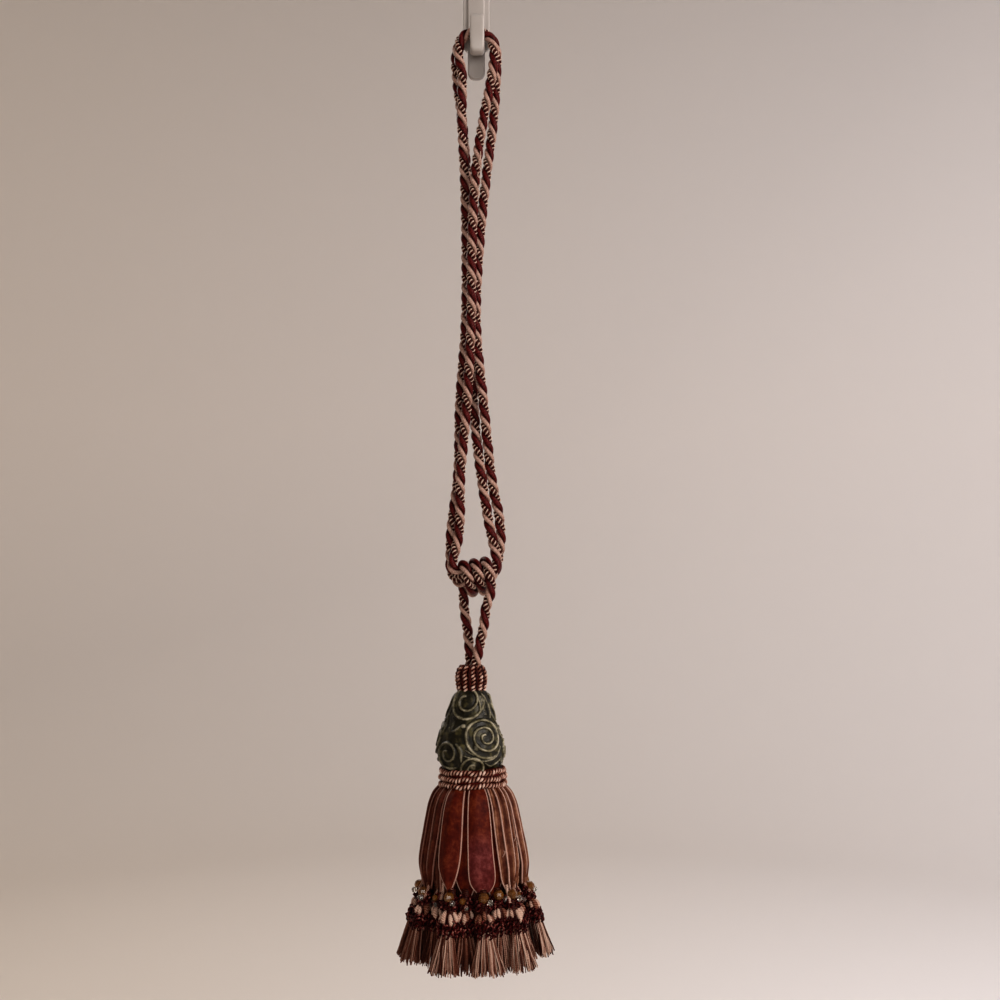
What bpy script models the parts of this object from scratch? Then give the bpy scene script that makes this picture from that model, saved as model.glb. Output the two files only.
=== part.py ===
"""Curtain tieback tassel hanging from a wall hook.

The origin is on the middle line of the hook's flat back, which lies against the
wall, 35 mm below its top. +Z is up, +X is to the right as seen from the room, and
+Y points into the wall.
A twisted ring cord hangs from the hook in two long loops. The tassel hangs from
the ring by its own loop of cord, which is coiled round the ring. The tassel is a
carved head between a corded neck and a corded collar, with a skirt of ribbons
and a fringe of small tassels under it.
"""
import math

import bpy
import numpy as np

MM = 0.001

# ---- driving dimensions, in millimetres unless the name says otherwise ----
GAP = 0.3                   # left between pieces that touch on the real object
CORD_D = 7.6                # twisted cord, measured over its plies

PLATE_W, PLATE_TOP, PLATE_BOTTOM, PLATE_T = 20.2, 35.0, -16.0, 2.6
PAD_W, PAD_TOP, PAD_BOTTOM, PAD_T = 13.2, 31.0, -37.0, 4.5
PRONG_W = 10.8              # width of the hook's J-shaped prong
PRONG_X = 1.0               # the prong stands a little right of the plate's middle

TASSEL_TOP = (-2.9, -40.0, -473.4)      # middle of the corded neck's upper face
LEAN_DEG, SWAY_DEG = 5.0, 0.9           # the tassel leans off the wall and to the right

RIBBON_PAIRS = 10           # outer ribbons; as many inner ribbons fill the spaces
RIBBON_T = 0.9
RIBBON_STEP_IN = 4.4        # how far the inner ribbons lie behind the outer ones
OUTER_START_DEG = 9.0       # first outer ribbon, measured from the front to the right


# ---- materials ----
def material(name, hex_colour, roughness, metallic=0.0):
    """A Principled material whose colour is given as an sRGB hex value."""
    srgb = np.array([int(hex_colour[i:i + 2], 16) / 255 for i in (0, 2, 4)])
    linear = np.where(srgb <= 0.04045, srgb / 12.92, ((srgb + 0.055) / 1.055) ** 2.4)
    made = bpy.data.materials.new(name)
    made.use_nodes = True
    shader = made.node_tree.nodes["Principled BSDF"]
    shader.inputs["Base Color"].default_value = (*linear, 1.0)
    shader.inputs["Roughness"].default_value = roughness
    shader.inputs["Metallic"].default_value = metallic
    return made


# ---- mesh helpers ----
def mesh_object(name, points_mm, faces, finish, parent=None):
    """A smooth-shaded object from points in millimetres and a list of faces."""
    mesh = bpy.data.meshes.new(name)
    mesh.from_pydata((np.asarray(points_mm) * MM).tolist(), [], faces)
    mesh.shade_smooth()
    mesh.set_sharp_from_angle(angle=math.radians(40))
    mesh.materials.append(finish)
    made = bpy.data.objects.new(name, mesh)
    made.parent = parent
    bpy.context.scene.collection.objects.link(made)
    return made


def loft_faces(rings, around, closed):
    """Quads between successive rings of points, and two end caps unless closed.

    Seen from outside, the rings follow one another upwards and their points run
    anticlockwise, or downwards and clockwise.
    """
    faces = []
    for i in range(rings if closed else rings - 1):
        low, high = i * around, ((i + 1) % rings) * around
        for j in range(around):
            k = (j + 1) % around
            faces.append((low + j, low + k, high + k, high + j))
    if not closed:
        faces.append(tuple(reversed(range(around))))
        faces.append(tuple((rings - 1) * around + j for j in range(around)))
    return faces


def turned(name, profile, around, finish, parent, lobes=0, lobe_depth=0.0, closed=False):
    """A solid of revolution from (radius, height) rows, lowest row first.

    With lobes, the radius swells and dips that many times round the axis.
    """
    angle = np.arange(around) * math.tau / around
    swell = 1.0 - lobe_depth * np.sin(angle * lobes / 2) ** 2
    rings = [np.stack([r * swell * np.cos(angle), r * swell * np.sin(angle),
                       np.full(around, float(z))], axis=1) for r, z in profile]
    faces = loft_faces(len(rings), around, closed)
    return mesh_object(name, np.vstack(rings), faces, finish, parent)


# ---- cord helpers ----
def smooth_curve(points, pieces=24):
    """A smooth curve through route points: cubic pieces whose slopes weigh both chords."""
    p = np.asarray(points, dtype=float)
    chord = np.linalg.norm(np.diff(p, axis=0), axis=1)
    slope = np.diff(p, axis=0) / chord[:, None]
    share = (chord[1:] / (chord[1:] + chord[:-1]))[:, None]
    tangent = np.vstack([slope[:1], slope[:-1] * share + slope[1:] * (1 - share), slope[-1:]])
    u = np.linspace(0, 1, pieces, endpoint=False)[:, None, None]
    h = chord[None, :, None]
    body = ((2 * u**3 - 3 * u**2 + 1) * p[:-1] + (u**3 - 2 * u**2 + u) * h * tangent[:-1]
            + (3 * u**2 - 2 * u**3) * p[1:] + (u**3 - u**2) * h * tangent[1:])
    return np.vstack([body.transpose(1, 0, 2).reshape(-1, 3), p[-1:]])


def spaced(curve, step=4 * CORD_D, bend_deg=28.0):
    """Points along a fine curve, one for each step of length or bend_deg of turning."""
    leg = np.diff(curve, axis=0)
    length = np.linalg.norm(leg, axis=1)
    unit = leg / length[:, None]
    turn = np.degrees(np.arccos(np.clip((unit[1:] * unit[:-1]).sum(axis=1), -1, 1)))
    measure = length / step + np.concatenate([[0], turn]) / bend_deg
    run = np.concatenate([[0], np.cumsum(measure)])
    marks = np.linspace(0, run[-1], int(math.ceil(run[-1])) + 1)
    return np.stack([np.interp(marks, run, curve[:, k]) for k in range(3)], axis=1)


def cord(name, curve, finish):
    """A round tube with filled ends along points in millimetres."""
    data = bpy.data.curves.new(name, "CURVE")
    data.dimensions = "3D"
    data.bevel_depth = (CORD_D - GAP) / 2 * MM
    data.bevel_resolution = 2
    data.use_fill_caps = True
    data.materials.append(finish)
    points = spaced(curve) * MM
    spline = data.splines.new("POLY")
    spline.points.add(len(points) - 1)
    for point, place in zip(spline.points, points):
        point.co = (*place, 1.0)
    made = bpy.data.objects.new(name, data)
    bpy.context.scene.collection.objects.link(made)
    return made


# ---- the wall hook ----
PRONG_ROWS = (
    # upper y, upper z, lower y, lower z, width share
    (-3.0, -7.6, -3.0, -17.6, 1.00),
    (-8.6, -8.9, -8.2, -20.2, 1.00),
    (-13.5, -10.4, -13.5, -22.8, 1.00),
    (-17.5, -10.7, -19.0, -24.3, 1.00),
    (-20.1, -9.3, -23.3, -22.6, 1.00),
    (-21.0, -6.3, -24.7, -17.5, 1.00),
    (-21.2, -2.5, -24.9, -8.0, 1.00),
    (-21.3, 1.5, -24.8, 0.0, 1.00),
    (-21.7, 3.9, -24.4, 3.4, 0.90),
    (-22.5, 4.8, -23.7, 4.7, 0.62),
)


def slab(name, width, top, bottom, near, far, corner, finish):
    """A flat plate with round corners, its outline in the XZ plane, from y near to y far."""
    half = width / 2 - corner
    arc = np.radians(np.linspace(0, 90, 7))
    outline = []
    for cx, cz, turn in ((half, top - corner, 0), (-half, top - corner, 1),
                         (-half, bottom + corner, 2), (half, bottom + corner, 3)):
        spin = arc + turn * math.pi / 2
        outline.append(np.stack([cx + corner * np.cos(spin), cz + corner * np.sin(spin)], axis=1))
    outline = np.vstack(outline)
    rings = [np.column_stack([outline[:, 0], np.full(len(outline), y), outline[:, 1]])
             for y in (near, far)]
    return mesh_object(name, np.vstack(rings), loft_faces(2, len(outline), False), finish)


def prong(name, finish):
    """The J-shaped prong: soft rectangles between an upper and a lower edge line."""
    angle = np.arange(20) * math.tau / 20
    across = np.sign(np.cos(angle)) * np.abs(np.cos(angle)) ** (2 / 3) * PRONG_W / 2
    upward = np.sign(np.sin(angle)) * np.abs(np.sin(angle)) ** (2 / 3)
    rings = []
    for upper_y, upper_z, lower_y, lower_z, share in PRONG_ROWS:
        middle = np.array([(upper_y + lower_y) / 2, (upper_z + lower_z) / 2])
        half = np.array([(upper_y - lower_y) / 2, (upper_z - lower_z) / 2])
        rings.append(np.column_stack([PRONG_X + across * share, middle[0] + upward * half[0],
                                      middle[1] + upward * half[1]]))
    return mesh_object(name, np.vstack(rings), loft_faces(len(rings), 20, False), finish)


def wall_hook(finish):
    """Plate, raised pad and prong joined into one moulding."""
    hook = slab("wall_hook", PLATE_W, PLATE_TOP, PLATE_BOTTOM, -PLATE_T, 0.0, 5.0, finish)
    joined = (
        slab("pad_shape", PAD_W, PAD_TOP, PAD_BOTTOM, -PAD_T, -0.4, 5.5, finish),
        prong("prong_shape", finish),
    )
    for shape in joined:
        shape.hide_render = True
        shape.display_type = "WIRE"
        union = hook.modifiers.new("join " + shape.name, "BOOLEAN")
        union.operation = "UNION"
        union.object = shape
    return hook


# ---- the ring cord: two loops over the hook, crossing on their way to the tassel ----
STRAND_ROWS = (
    # height, then x and y of: front left, front right, back left, back right
    (-37.5, (-10.5, -18.8), (12.0, -18.8), (-14.5, -10.2), (15.0, -10.2)),
    (-70.0, (-10.5, -19.0), (6.0, -21.5), (-10.5, -10.5), (13.0, -12.8)),
    (-110.0, (-8.5, -19.2), (0.3, -26.0), (-7.0, -11.0), (8.2, -17.5)),
    (-160.0, (-7.2, -20.5), (-2.5, -30.0), (-3.5, -12.8), (3.2, -23.0)),
    (-225.0, (-7.5, -23.7), (-3.2, -34.4), (-1.8, -17.4), (0.4, -27.2)),
    (-285.0, (-11.6, -26.7), (-6.3, -34.8), (-1.5, -23.3), (6.0, -30.3)),
    (-335.0, (-12.8, -29.0), (-10.8, -36.9), (4.0, -33.7), (11.2, -31.0)),
    (-386.0, (-18.2, -32.6), (-13.2, -38.6), (13.0, -36.4), (18.3, -30.6)),
)
FRONT_ARCH = ((-12.8, -17.0, -20.0), (-9.2, -16.7, -9.9), (0.3, -16.7, -6.1),
              (9.8, -16.7, -9.9), (13.4, -17.0, -20.0))
BACK_ARCH = ((-14.8, -9.2, -19.0), (-10.6, -8.8, -8.2), (0.3, -8.7, -4.1),
             (11.2, -8.8, -8.2), (15.2, -9.2, -19.0))

# ---- the knot: the ring's two bends, and the tassel's loop coiled round them ----
LOWER_BEND = ((-18.2, -32.8, -397.0), (-17.4, -33.3, -407.0), (-11.8, -34.2, -414.4),
              (-4.0, -34.3, -414.1), (1.8, -34.4, -413.3), (8.5, -34.2, -412.3),
              (13.3, -32.6, -408.6), (16.1, -30.8, -401.5), (17.3, -30.2, -394.0))
UPPER_BEND = ((-15.4, -40.0, -395.0), (-16.6, -41.0, -401.5), (-14.5, -41.3, -406.6),
              (-9.0, -41.0, -409.2), (1.6, -40.7, -408.1), (7.0, -40.7, -407.5),
              (12.4, -40.4, -406.2), (15.5, -39.2, -401.5), (15.0, -38.2, -394.5))
BEND_MIDDLE = 4             # the place in each list where the ring's two halves meet

COIL_MIDDLE = np.array([2.7, -37.5, -410.4])
COIL_AXIS = np.array([0.99, 0.02, 0.14])
COIL_TILT_DEG = 50.0        # the upper bend lies this far in front of straight above
COIL_PITCH = 7.9
PAIR_HALF = 3.9             # half the distance between the two bends
TURN_RADIUS = 8.1           # from a bend's middle to the middle of a turn
BAIL_LEFT = ((-3.8, -36.2, -472.9), (-4.3, -35.8, -462.0), (-6.3, -33.0, -446.0),
             (-8.6, -29.6, -430.0))
BAIL_RIGHT = ((11.4, -48.2, -412.5), (11.3, -47.5, -420.4), (8.4, -46.4, -430.0),
              (6.4, -45.5, -443.8), (3.6, -44.6, -458.0), (0.2, -43.8, -471.8))


def strand(column):
    """Places down one strand, from the hook to the knot."""
    return [(row[column][0], row[column][1], row[0]) for row in STRAND_ROWS]


def meeting_face(bend, side):
    """The end of one half of the ring, half a gap from the bend's middle."""
    middle = np.array(bend[BEND_MIDDLE])
    along = np.array(bend[BEND_MIDDLE + 1]) - np.array(bend[BEND_MIDDLE - 1])
    return tuple(middle + side * GAP / 2 * along / np.linalg.norm(along))


def front_loop_route():
    """From the lower bend's middle up the left, over the hook and down to the upper bend."""
    low = [*LOWER_BEND[:BEND_MIDDLE], meeting_face(LOWER_BEND, -1)]
    high = [*UPPER_BEND[:BEND_MIDDLE], meeting_face(UPPER_BEND, -1)]
    return [*reversed(low), *reversed(strand(1)), *FRONT_ARCH, *strand(2), *high]


def back_loop_route():
    """From the upper bend's middle up the right, over the hook and down to the lower bend."""
    low = [meeting_face(LOWER_BEND, 1), *LOWER_BEND[BEND_MIDDLE + 1:]]
    high = [meeting_face(UPPER_BEND, 1), *UPPER_BEND[BEND_MIDDLE + 1:]]
    return [*high, *reversed(strand(3)), *BACK_ARCH, *strand(4), *reversed(low)]


def coil_turns(start_deg, end_deg, step_deg=15.0):
    """Turns round both bends: 0 degrees is over the top, 90 in front, 270 behind.

    Each turn is a stadium: half a circle round each bend, joined by straight runs.
    """
    axis = COIL_AXIS / np.linalg.norm(COIL_AXIS)
    front = np.array([0.0, -1.0, 0.0])
    front -= axis * (front @ axis)
    front /= np.linalg.norm(front)
    up = np.cross(front, axis)
    tilt = math.radians(COIL_TILT_DEG)
    long_way = math.cos(tilt) * up + math.sin(tilt) * front
    short_way = math.cos(tilt) * front - math.sin(tilt) * up
    angle = np.radians(np.arange(start_deg, end_deg + 1, step_deg) - COIL_TILT_DEG)[:, None]
    middle_turn = math.radians(450 - COIL_TILT_DEG)
    along = axis * COIL_PITCH * (angle - middle_turn) / math.tau
    shift = PAIR_HALF * np.clip(3 * np.cos(angle), -1, 1)
    return (COIL_MIDDLE + along + (shift + TURN_RADIUS * np.cos(angle)) * long_way
            + TURN_RADIUS * np.sin(angle) * short_way)


def bail_route():
    """The tassel's loop: up behind, two and a half turns, and down in front."""
    return [*BAIL_LEFT, *coil_turns(-105, 795), *BAIL_RIGHT]


# ---- the tassel's turned pieces, as (radius, height) rows below the tassel's top ----
NECK_PROFILE = ((10.2, -18.2), (11.6, -16.0), (12.1, -11.0), (11.7, -5.0), (10.2, -1.6),
                (8.2, 0.0))
HEAD_PROFILE = ((17.6, -85.4), (17.6, -73.5), (21.4, -72.0), (23.6, -69.0), (24.7, -64.5),
                (24.8, -60.0), (23.9, -54.5), (22.0, -47.6), (19.2, -40.4), (16.6, -33.2),
                (14.2, -26.0), (12.4, -21.0), (11.2, -18.5))
COLLAR_PROFILE = ((18.0, -85.6), (23.0, -85.8), (24.9, -83.6), (24.4, -81.4), (25.3, -79.0),
                  (24.5, -76.6), (24.2, -74.2), (22.4, -72.6), (20.4, -73.9), (18.0, -74.2))


# ---- the skirt of ribbons ----
RIBBON_ROWS = (
    # depth below the tassel's top, radius of the crown, half width, gather depth
    (86.2, 23.4, 5.6, 0.9),
    (90.0, 27.0, 6.7, 0.8),
    (97.0, 30.6, 7.6, 0.6),
    (107.5, 33.3, 8.3, 0.5),
    (119.0, 35.6, 8.7, 0.5),
    (130.0, 37.8, 8.9, 0.5),
    (140.0, 38.9, 8.7, 0.6),
    (148.0, 37.9, 6.9, 0.8),
    (154.0, 36.6, 3.4, 1.0),
)
RIBBON_COLUMNS = 7


def ribbon(name, centre_deg, step_in, phase, finish, parent):
    """A ribbon gathered at both ends and bellied between, with its long edges tucked in."""
    share = np.linspace(-1, 1, RIBBON_COLUMNS)
    outer, inner = [], []
    for depth, crown, half, gather in RIBBON_ROWS:
        radius = crown - step_in
        ripple = gather * np.cos(share * 2.6 * math.pi + phase + depth * 0.02)
        face = radius - 1.5 * share**2 + ripple * (1 - 0.5 * share**2)
        angle = math.radians(centre_deg) + share * half / radius
        for side, reach in ((outer, face), (inner, face - RIBBON_T)):
            side.append(np.column_stack([reach * np.sin(angle), -reach * np.cos(angle),
                                         np.full(RIBBON_COLUMNS, -depth)]))
    loops = [np.vstack([front, back[::-1]]) for front, back in zip(outer, inner)]
    around = 2 * RIBBON_COLUMNS
    faces = [tuple(reversed(face)) for face in loft_faces(len(loops), around, False)]
    caps = [faces.pop(), faces.pop()]
    for last, cap in enumerate(reversed(caps)):
        first = last * (len(loops) - 1) * around
        for j in range(RIBBON_COLUMNS - 1):
            quad = (first + j, first + j + 1, first + around - 2 - j, first + around - 1 - j)
            faces.append(quad if cap[0] < cap[1] else tuple(reversed(quad)))
    return mesh_object(name, np.vstack(loops), faces, finish, parent)


# ---- the fringe of small tassels ----
HANGER_SHIFT_DEG = (2, 3, -2, -2, 1, 0, -2, 2, 1, -1, 2, 0, -1, 1, 2, -2, 0, 1, 3, 0)
HANGER_DROP = (0.4, 0.8, 0.2, -1.6, -2.4, -2.8, -1.2, -2.0, 0.4, -0.8,
               -1.4, 0.2, -0.6, -1.8, -1.2, -2.2, -2.6, -1.8, 0.0, 0.8)
HANGER_ROWS = (
    # depth, outer reach, inner reach, half width, half thickness
    (154.5, 35.5, 31.6, 1.5, 1.5),
    (158.5, 37.6, 33.2, 2.0, 1.9),
    (162.0, 39.2, 34.4, 4.2, 3.6),
    (166.0, 40.4, 35.2, 4.7, 4.2),
    (169.5, 41.2, 35.7, 4.6, 4.2),
    (172.5, 41.9, 36.1, 5.2, 4.6),
    (176.0, 42.8, 36.5, 5.2, 4.4),
    (179.0, 43.7, 36.8, 5.1, 4.2),
    (188.0, 46.2, 37.8, 7.2, 4.2),
    (197.0, 48.4, 39.3, 8.8, 4.2),
    (205.0, 50.3, 41.0, 9.8, 4.2),
)


def hanger(name, centre_deg, column, drop, finish, parent):
    """A small tassel: tied head, bound neck and a skirt that spreads sideways."""
    angle = np.arange(10) * math.tau / 10
    middle = math.radians(centre_deg)
    outward = np.array([math.sin(middle), -math.cos(middle), 0.0])
    sideways = np.array([math.cos(middle), math.sin(middle), 0.0])
    first = HANGER_ROWS[0][0]
    last = HANGER_ROWS[-1][0]
    rings = []
    for row in HANGER_ROWS:
        depth, reach, half, thick = row[0], row[column], row[3], row[4]
        depth += drop * (depth - first) / (last - first)
        rings.append(outward * reach + np.array([0, 0, -depth])
                     + half * np.sin(angle)[:, None] * sideways
                     + thick * np.cos(angle)[:, None] * outward)
    faces = [tuple(reversed(face)) for face in loft_faces(len(rings), 10, False)]
    return mesh_object(name, np.vstack(rings), faces, finish, parent)


# ---- assembly ----
def main():
    """Clear the scene and build every piece."""
    for old in list(bpy.data.objects):
        bpy.data.objects.remove(old)

    moulding = material("hook_plastic", "C9C4BD", 0.35)
    rayon = material("cord_rayon", "5A2520", 0.5)
    corded = material("corded_trim", "8A5F54", 0.6)
    carved = material("carved_head", "3A3628", 0.45)
    satin = material("ribbon_satin", "551D18", 0.4)
    threads = material("fringe_thread", "8E6A5C", 0.7)

    wall_hook(moulding)
    cord("cord_front_loop", smooth_curve(front_loop_route()), rayon)
    cord("cord_back_loop", smooth_curve(back_loop_route()), rayon)
    cord("cord_bail", smooth_curve(bail_route()), rayon)

    axis = bpy.data.objects.new("tassel_axis", None)
    axis.location = tuple(v * MM for v in TASSEL_TOP)
    axis.rotation_euler = (math.radians(-LEAN_DEG), math.radians(-SWAY_DEG), 0.0)
    bpy.context.scene.collection.objects.link(axis)

    turned("neck", NECK_PROFILE, 44, corded, axis, lobes=11, lobe_depth=0.09)
    turned("head", HEAD_PROFILE, 32, carved, axis)
    turned("collar", COLLAR_PROFILE, 40, corded, axis, closed=True)
    step = 360 / RIBBON_PAIRS
    for i in range(RIBBON_PAIRS):
        outer_deg = OUTER_START_DEG + i * step
        inner_deg = outer_deg + step / 2
        number = f"{i + 1:02d}"
        ribbon("ribbon_outer_" + number, outer_deg, 0.0, i * 1.9, satin, axis)
        ribbon("ribbon_inner_" + number, inner_deg, RIBBON_STEP_IN, i * 2.3 + 1, satin, axis)
        hanger("hanger_outer_" + number, outer_deg + HANGER_SHIFT_DEG[2 * i], 1,
               HANGER_DROP[2 * i], threads, axis)
        hanger("hanger_inner_" + number, inner_deg + HANGER_SHIFT_DEG[2 * i + 1], 2,
               HANGER_DROP[2 * i + 1], threads, axis)


main()
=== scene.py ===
# %% [markdown]
# # A curtain tieback tassel
#
# A tieback holds a curtain aside. This one is a ring of twisted cord that hangs on
# a wall hook, with a tassel on a loop of the same cord. The tassel is passementerie:
# trimming made from cord, ribbon, beads and thread over a carved head.
#
# Nearly everything here is thread wound round thread, so nearly everything comes
# from two ideas: a ring of points carried along a path, and a path wound about
# another path. They are worked out as whole numpy arrays.

# %% The fixed frame
import math

import bpy
import numpy as np
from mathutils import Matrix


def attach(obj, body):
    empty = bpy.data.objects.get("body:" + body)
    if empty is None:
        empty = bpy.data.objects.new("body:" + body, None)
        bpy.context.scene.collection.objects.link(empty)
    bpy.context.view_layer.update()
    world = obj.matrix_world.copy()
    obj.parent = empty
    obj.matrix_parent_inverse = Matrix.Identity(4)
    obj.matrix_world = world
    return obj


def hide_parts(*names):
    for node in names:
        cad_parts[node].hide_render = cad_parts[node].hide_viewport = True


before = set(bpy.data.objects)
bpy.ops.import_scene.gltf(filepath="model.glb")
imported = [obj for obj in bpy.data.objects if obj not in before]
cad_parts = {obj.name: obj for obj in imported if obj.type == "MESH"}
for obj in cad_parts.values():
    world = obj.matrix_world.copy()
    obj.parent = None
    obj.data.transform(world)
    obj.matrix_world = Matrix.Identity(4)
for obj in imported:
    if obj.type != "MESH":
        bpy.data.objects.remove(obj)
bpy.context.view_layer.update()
MM = 0.001
TAU = math.tau
print("nodes in the frame:", len(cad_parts))

# %% [markdown]
# ## Camera
#
# The object is nearly three quarters of a metre tall and hangs, so the camera stands
# level with its middle, 0.9 m in front, a little to its right.

# %% Camera
CAMERA_PLACE = (0.01795, -0.93, -0.3545)      # metres
LENS_MM, SENSOR_MM = 44.2, 36.0

lens = bpy.data.cameras.new("camera")
lens.lens, lens.sensor_width = LENS_MM, SENSOR_MM
camera = bpy.data.objects.new("camera", lens)
camera.location = CAMERA_PLACE
camera.rotation_euler = (math.radians(90), 0.0, 0.0)
bpy.context.scene.collection.objects.link(camera)
bpy.context.scene.camera = camera
print(f"the view is {math.degrees(lens.angle):.0f} degrees wide")

# %% [markdown]
# ## Paths
#
# A cord is soft, so its route is a smooth curve through a few given places.
# Each piece of the curve is a cubic, and the slope at a place is a mean of the two
# chords that meet there. The shorter chord counts for more, so the curve never swings
# wide after a short chord. Blender's own curves could carry a cord too, but the strands
# that are wound about it need every point of the route, and arrays give those.


# %% Smooth curves
def unit(vectors):
    """Each vector divided by its own length."""
    return vectors / np.linalg.norm(vectors, axis=-1, keepdims=True)


def smooth_curve(points, pieces=24):
    """Cubic pieces through route points, each cut into short straight ones.

    At a share u of the way from a to b, over a chord of length h, the place is
    (2u^3 - 3u^2 + 1) a + (u^3 - 2u^2 + u) h slope_a + (3u^2 - 2u^3) b + (u^3 - u^2) h slope_b.
    """
    p = np.asarray(points, dtype=float)
    chord = np.linalg.norm(np.diff(p, axis=0), axis=1)
    slope = np.diff(p, axis=0) / chord[:, None]
    share = (chord[1:] / (chord[1:] + chord[:-1]))[:, None]
    tangent = np.vstack([slope[:1], slope[:-1] * share + slope[1:] * (1 - share), slope[-1:]])
    u = np.linspace(0, 1, pieces, endpoint=False)[:, None, None]
    h = chord[None, :, None]
    body = ((2 * u**3 - 3 * u**2 + 1) * p[:-1] + (u**3 - 2 * u**2 + u) * h * tangent[:-1]
            + (3 * u**2 - 2 * u**3) * p[1:] + (u**3 - u**2) * h * tangent[1:])
    return np.vstack([body.transpose(1, 0, 2).reshape(-1, p.shape[1]), p[-1:]])


def run_length(path):
    """Length along a path up to each of its points: the running sum of its steps."""
    steps = np.linalg.norm(np.diff(path, axis=-2), axis=-1)
    return np.concatenate([np.zeros((*steps.shape[:-1], 1)), np.cumsum(steps, axis=-1)], axis=-1)


def even_steps(path, step):
    """The same path with its points an even step apart."""
    run = run_length(path)
    marks = np.linspace(0, run[-1], int(round(run[-1] / step)) + 1)
    return np.stack([np.interp(marks, run, path[:, k]) for k in range(path.shape[1])], axis=1)


arch = smooth_curve(((-10, 0), (0, 10), (10, 0)))
print(f"an arch through three places is {run_length(arch)[-1]:.1f} mm long")

# %% [markdown]
# A strand laid in a rope goes round the rope's middle line as it goes along it. The
# reference direction says where the turn starts. It only has to stay off the path's
# own direction, so each use picks an axis that the path never runs along. A Screw
# modifier turns about a straight axis only, and a cord bends, so the turn is worked
# out along the path.


# %% Rings and windings
def square_frame(path, reference):
    """Two directions square to a path and to each other, the first nearest the reference.

    The first is the reference less its part along the path. The second is the cross
    product of the path's direction and the first.
    """
    along = unit(np.gradient(path, axis=-2))
    reference = np.broadcast_to(reference, path.shape)
    first = unit(reference - along * (reference * along).sum(axis=-1, keepdims=True))
    return first, np.cross(along, first)


def tube(path, reference, radius, sides):
    """A ring round each place on a path: place + radius (first cos a + second sin a)."""
    first, second = square_frame(path, reference)
    angle = np.arange(sides) * TAU / sides
    ring = (first[..., None, :] * np.cos(angle)[:, None]
            + second[..., None, :] * np.sin(angle)[:, None])
    radius = np.broadcast_to(radius, path.shape[:-1])
    return path[..., None, :] + radius[..., None, None] * ring


def wind(path, reference, stand_off, lay, start=0.0):
    """A strand wound round a path, and its outward direction.

    The strand is path + stand_off (first cos a + second sin a), where the angle a is
    start - one turn x run / lay. A negative lay turns the other way.
    """
    first, second = square_frame(path, reference)
    angle = start - TAU * run_length(path)[..., None] / lay
    outward = first * np.cos(angle) + second * np.sin(angle)
    return path + stand_off * outward, outward


one_lay = np.linspace((0.0, 0.0, 0.0), (0.0, 0.0, 22.0), 100)
one_turn = wind(one_lay, (1, 0, 0), 2.0, 22.0)[0]
print(f"a ply 2 mm off the middle takes {run_length(one_turn)[-1]:.1f} mm for 22 mm of cord")

# %% [markdown]
# ## Meshes
#
# Every piece is one or more grids of points: rows along it and columns across or
# around it. A grid that goes round is closed onto itself, and its two ends get a cap,
# so each grid is a closed body. The UV map holds the share of the way round and the
# distance along in millimetres, which is what a thread's pattern follows. Faces could
# be made one at a time with bmesh. Numbering a whole grid at once is quicker, and the
# faces come in an order that their UV places can follow.


# %% Grids
def grid(points, finish=0, tone=0.0, flat=False):
    """One or more like grids, (copies, rows, columns, 3) in mm, each closed round its rows."""
    points = np.asarray(points, dtype=float)
    if points.ndim == 3:
        points = points[None]
    return {"points": points, "finish": finish, "flat": flat,
            "tone": np.broadcast_to(tone, points.shape[:3])}


square_tube = grid(tube(one_lay, (1, 0, 0), 1.0, sides=4))
print("copies, rows and columns of a square tube:", square_tube["points"].shape[:3])


# %% Faces
def grid_faces(part, base):
    """Corner numbers and UV of each face of a grid, whose first point has number base."""
    copies, rows, columns = part["points"].shape[:3]
    number = base + np.arange(copies * rows * columns).reshape(copies, rows, columns)
    along = run_length(part["points"].mean(axis=2))
    number = np.concatenate([number, number[:, :, :1]], axis=2)
    share = np.broadcast_to(np.arange(number.shape[2]) / columns, number.shape)
    place = np.stack([share, np.broadcast_to(along[..., None], number.shape)], axis=-1)

    def corners(table):
        """The four corners of every face, in the order that makes it face outward."""
        return np.stack([table[:, :-1, :-1], table[:, :-1, 1:], table[:, 1:, 1:],
                         table[:, 1:, :-1]], axis=3)

    quads = corners(number).reshape(-1, 4).tolist()
    caps = np.concatenate([number[:, 0, -2::-1], number[:, -1, :-1]]).tolist()
    cap_uv = np.concatenate([place[:, 0, -2::-1], place[:, -1, :-1]]).reshape(-1, 2)
    return quads + caps, np.concatenate([corners(place).reshape(-1, 2), cap_uv])


print("faces on it, with its two caps:", len(grid_faces(square_tube, 0)[0]))


# %% Piece
def piece(name, parts, finishes):
    """A smooth mesh object at the origin made from grids, with one material per finish."""
    faces, uv, slots, smooth, base = [], [], [], [], 0
    for part in parts:
        new_faces, new_uv = grid_faces(part, base)
        faces += new_faces
        uv.append(new_uv)
        slots.append(np.full(len(new_faces), part["finish"]))
        smooth.append(np.full(len(new_faces), not part["flat"]))
        base += part["points"][..., 0].size
    mesh = bpy.data.meshes.new(name)
    places = np.concatenate([part["points"].reshape(-1, 3) for part in parts]) * MM
    mesh.from_pydata(places, [], faces)
    mesh.uv_layers.new(name="UVMap").data.foreach_set("uv", np.concatenate(uv).ravel())
    mesh.polygons.foreach_set("material_index", np.concatenate(slots))
    tone = mesh.attributes.new("tone", "FLOAT", "POINT")
    tone.data.foreach_set("value", np.concatenate([part["tone"].ravel() for part in parts]))
    mesh.polygons.foreach_set("use_smooth", np.concatenate(smooth))
    for finish in finishes:
        mesh.materials.append(finish)
    made = bpy.data.objects.new(name, mesh)
    bpy.context.scene.collection.objects.link(made)
    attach(made, "root")
    print(name, "faces", len(faces))
    return made


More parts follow.
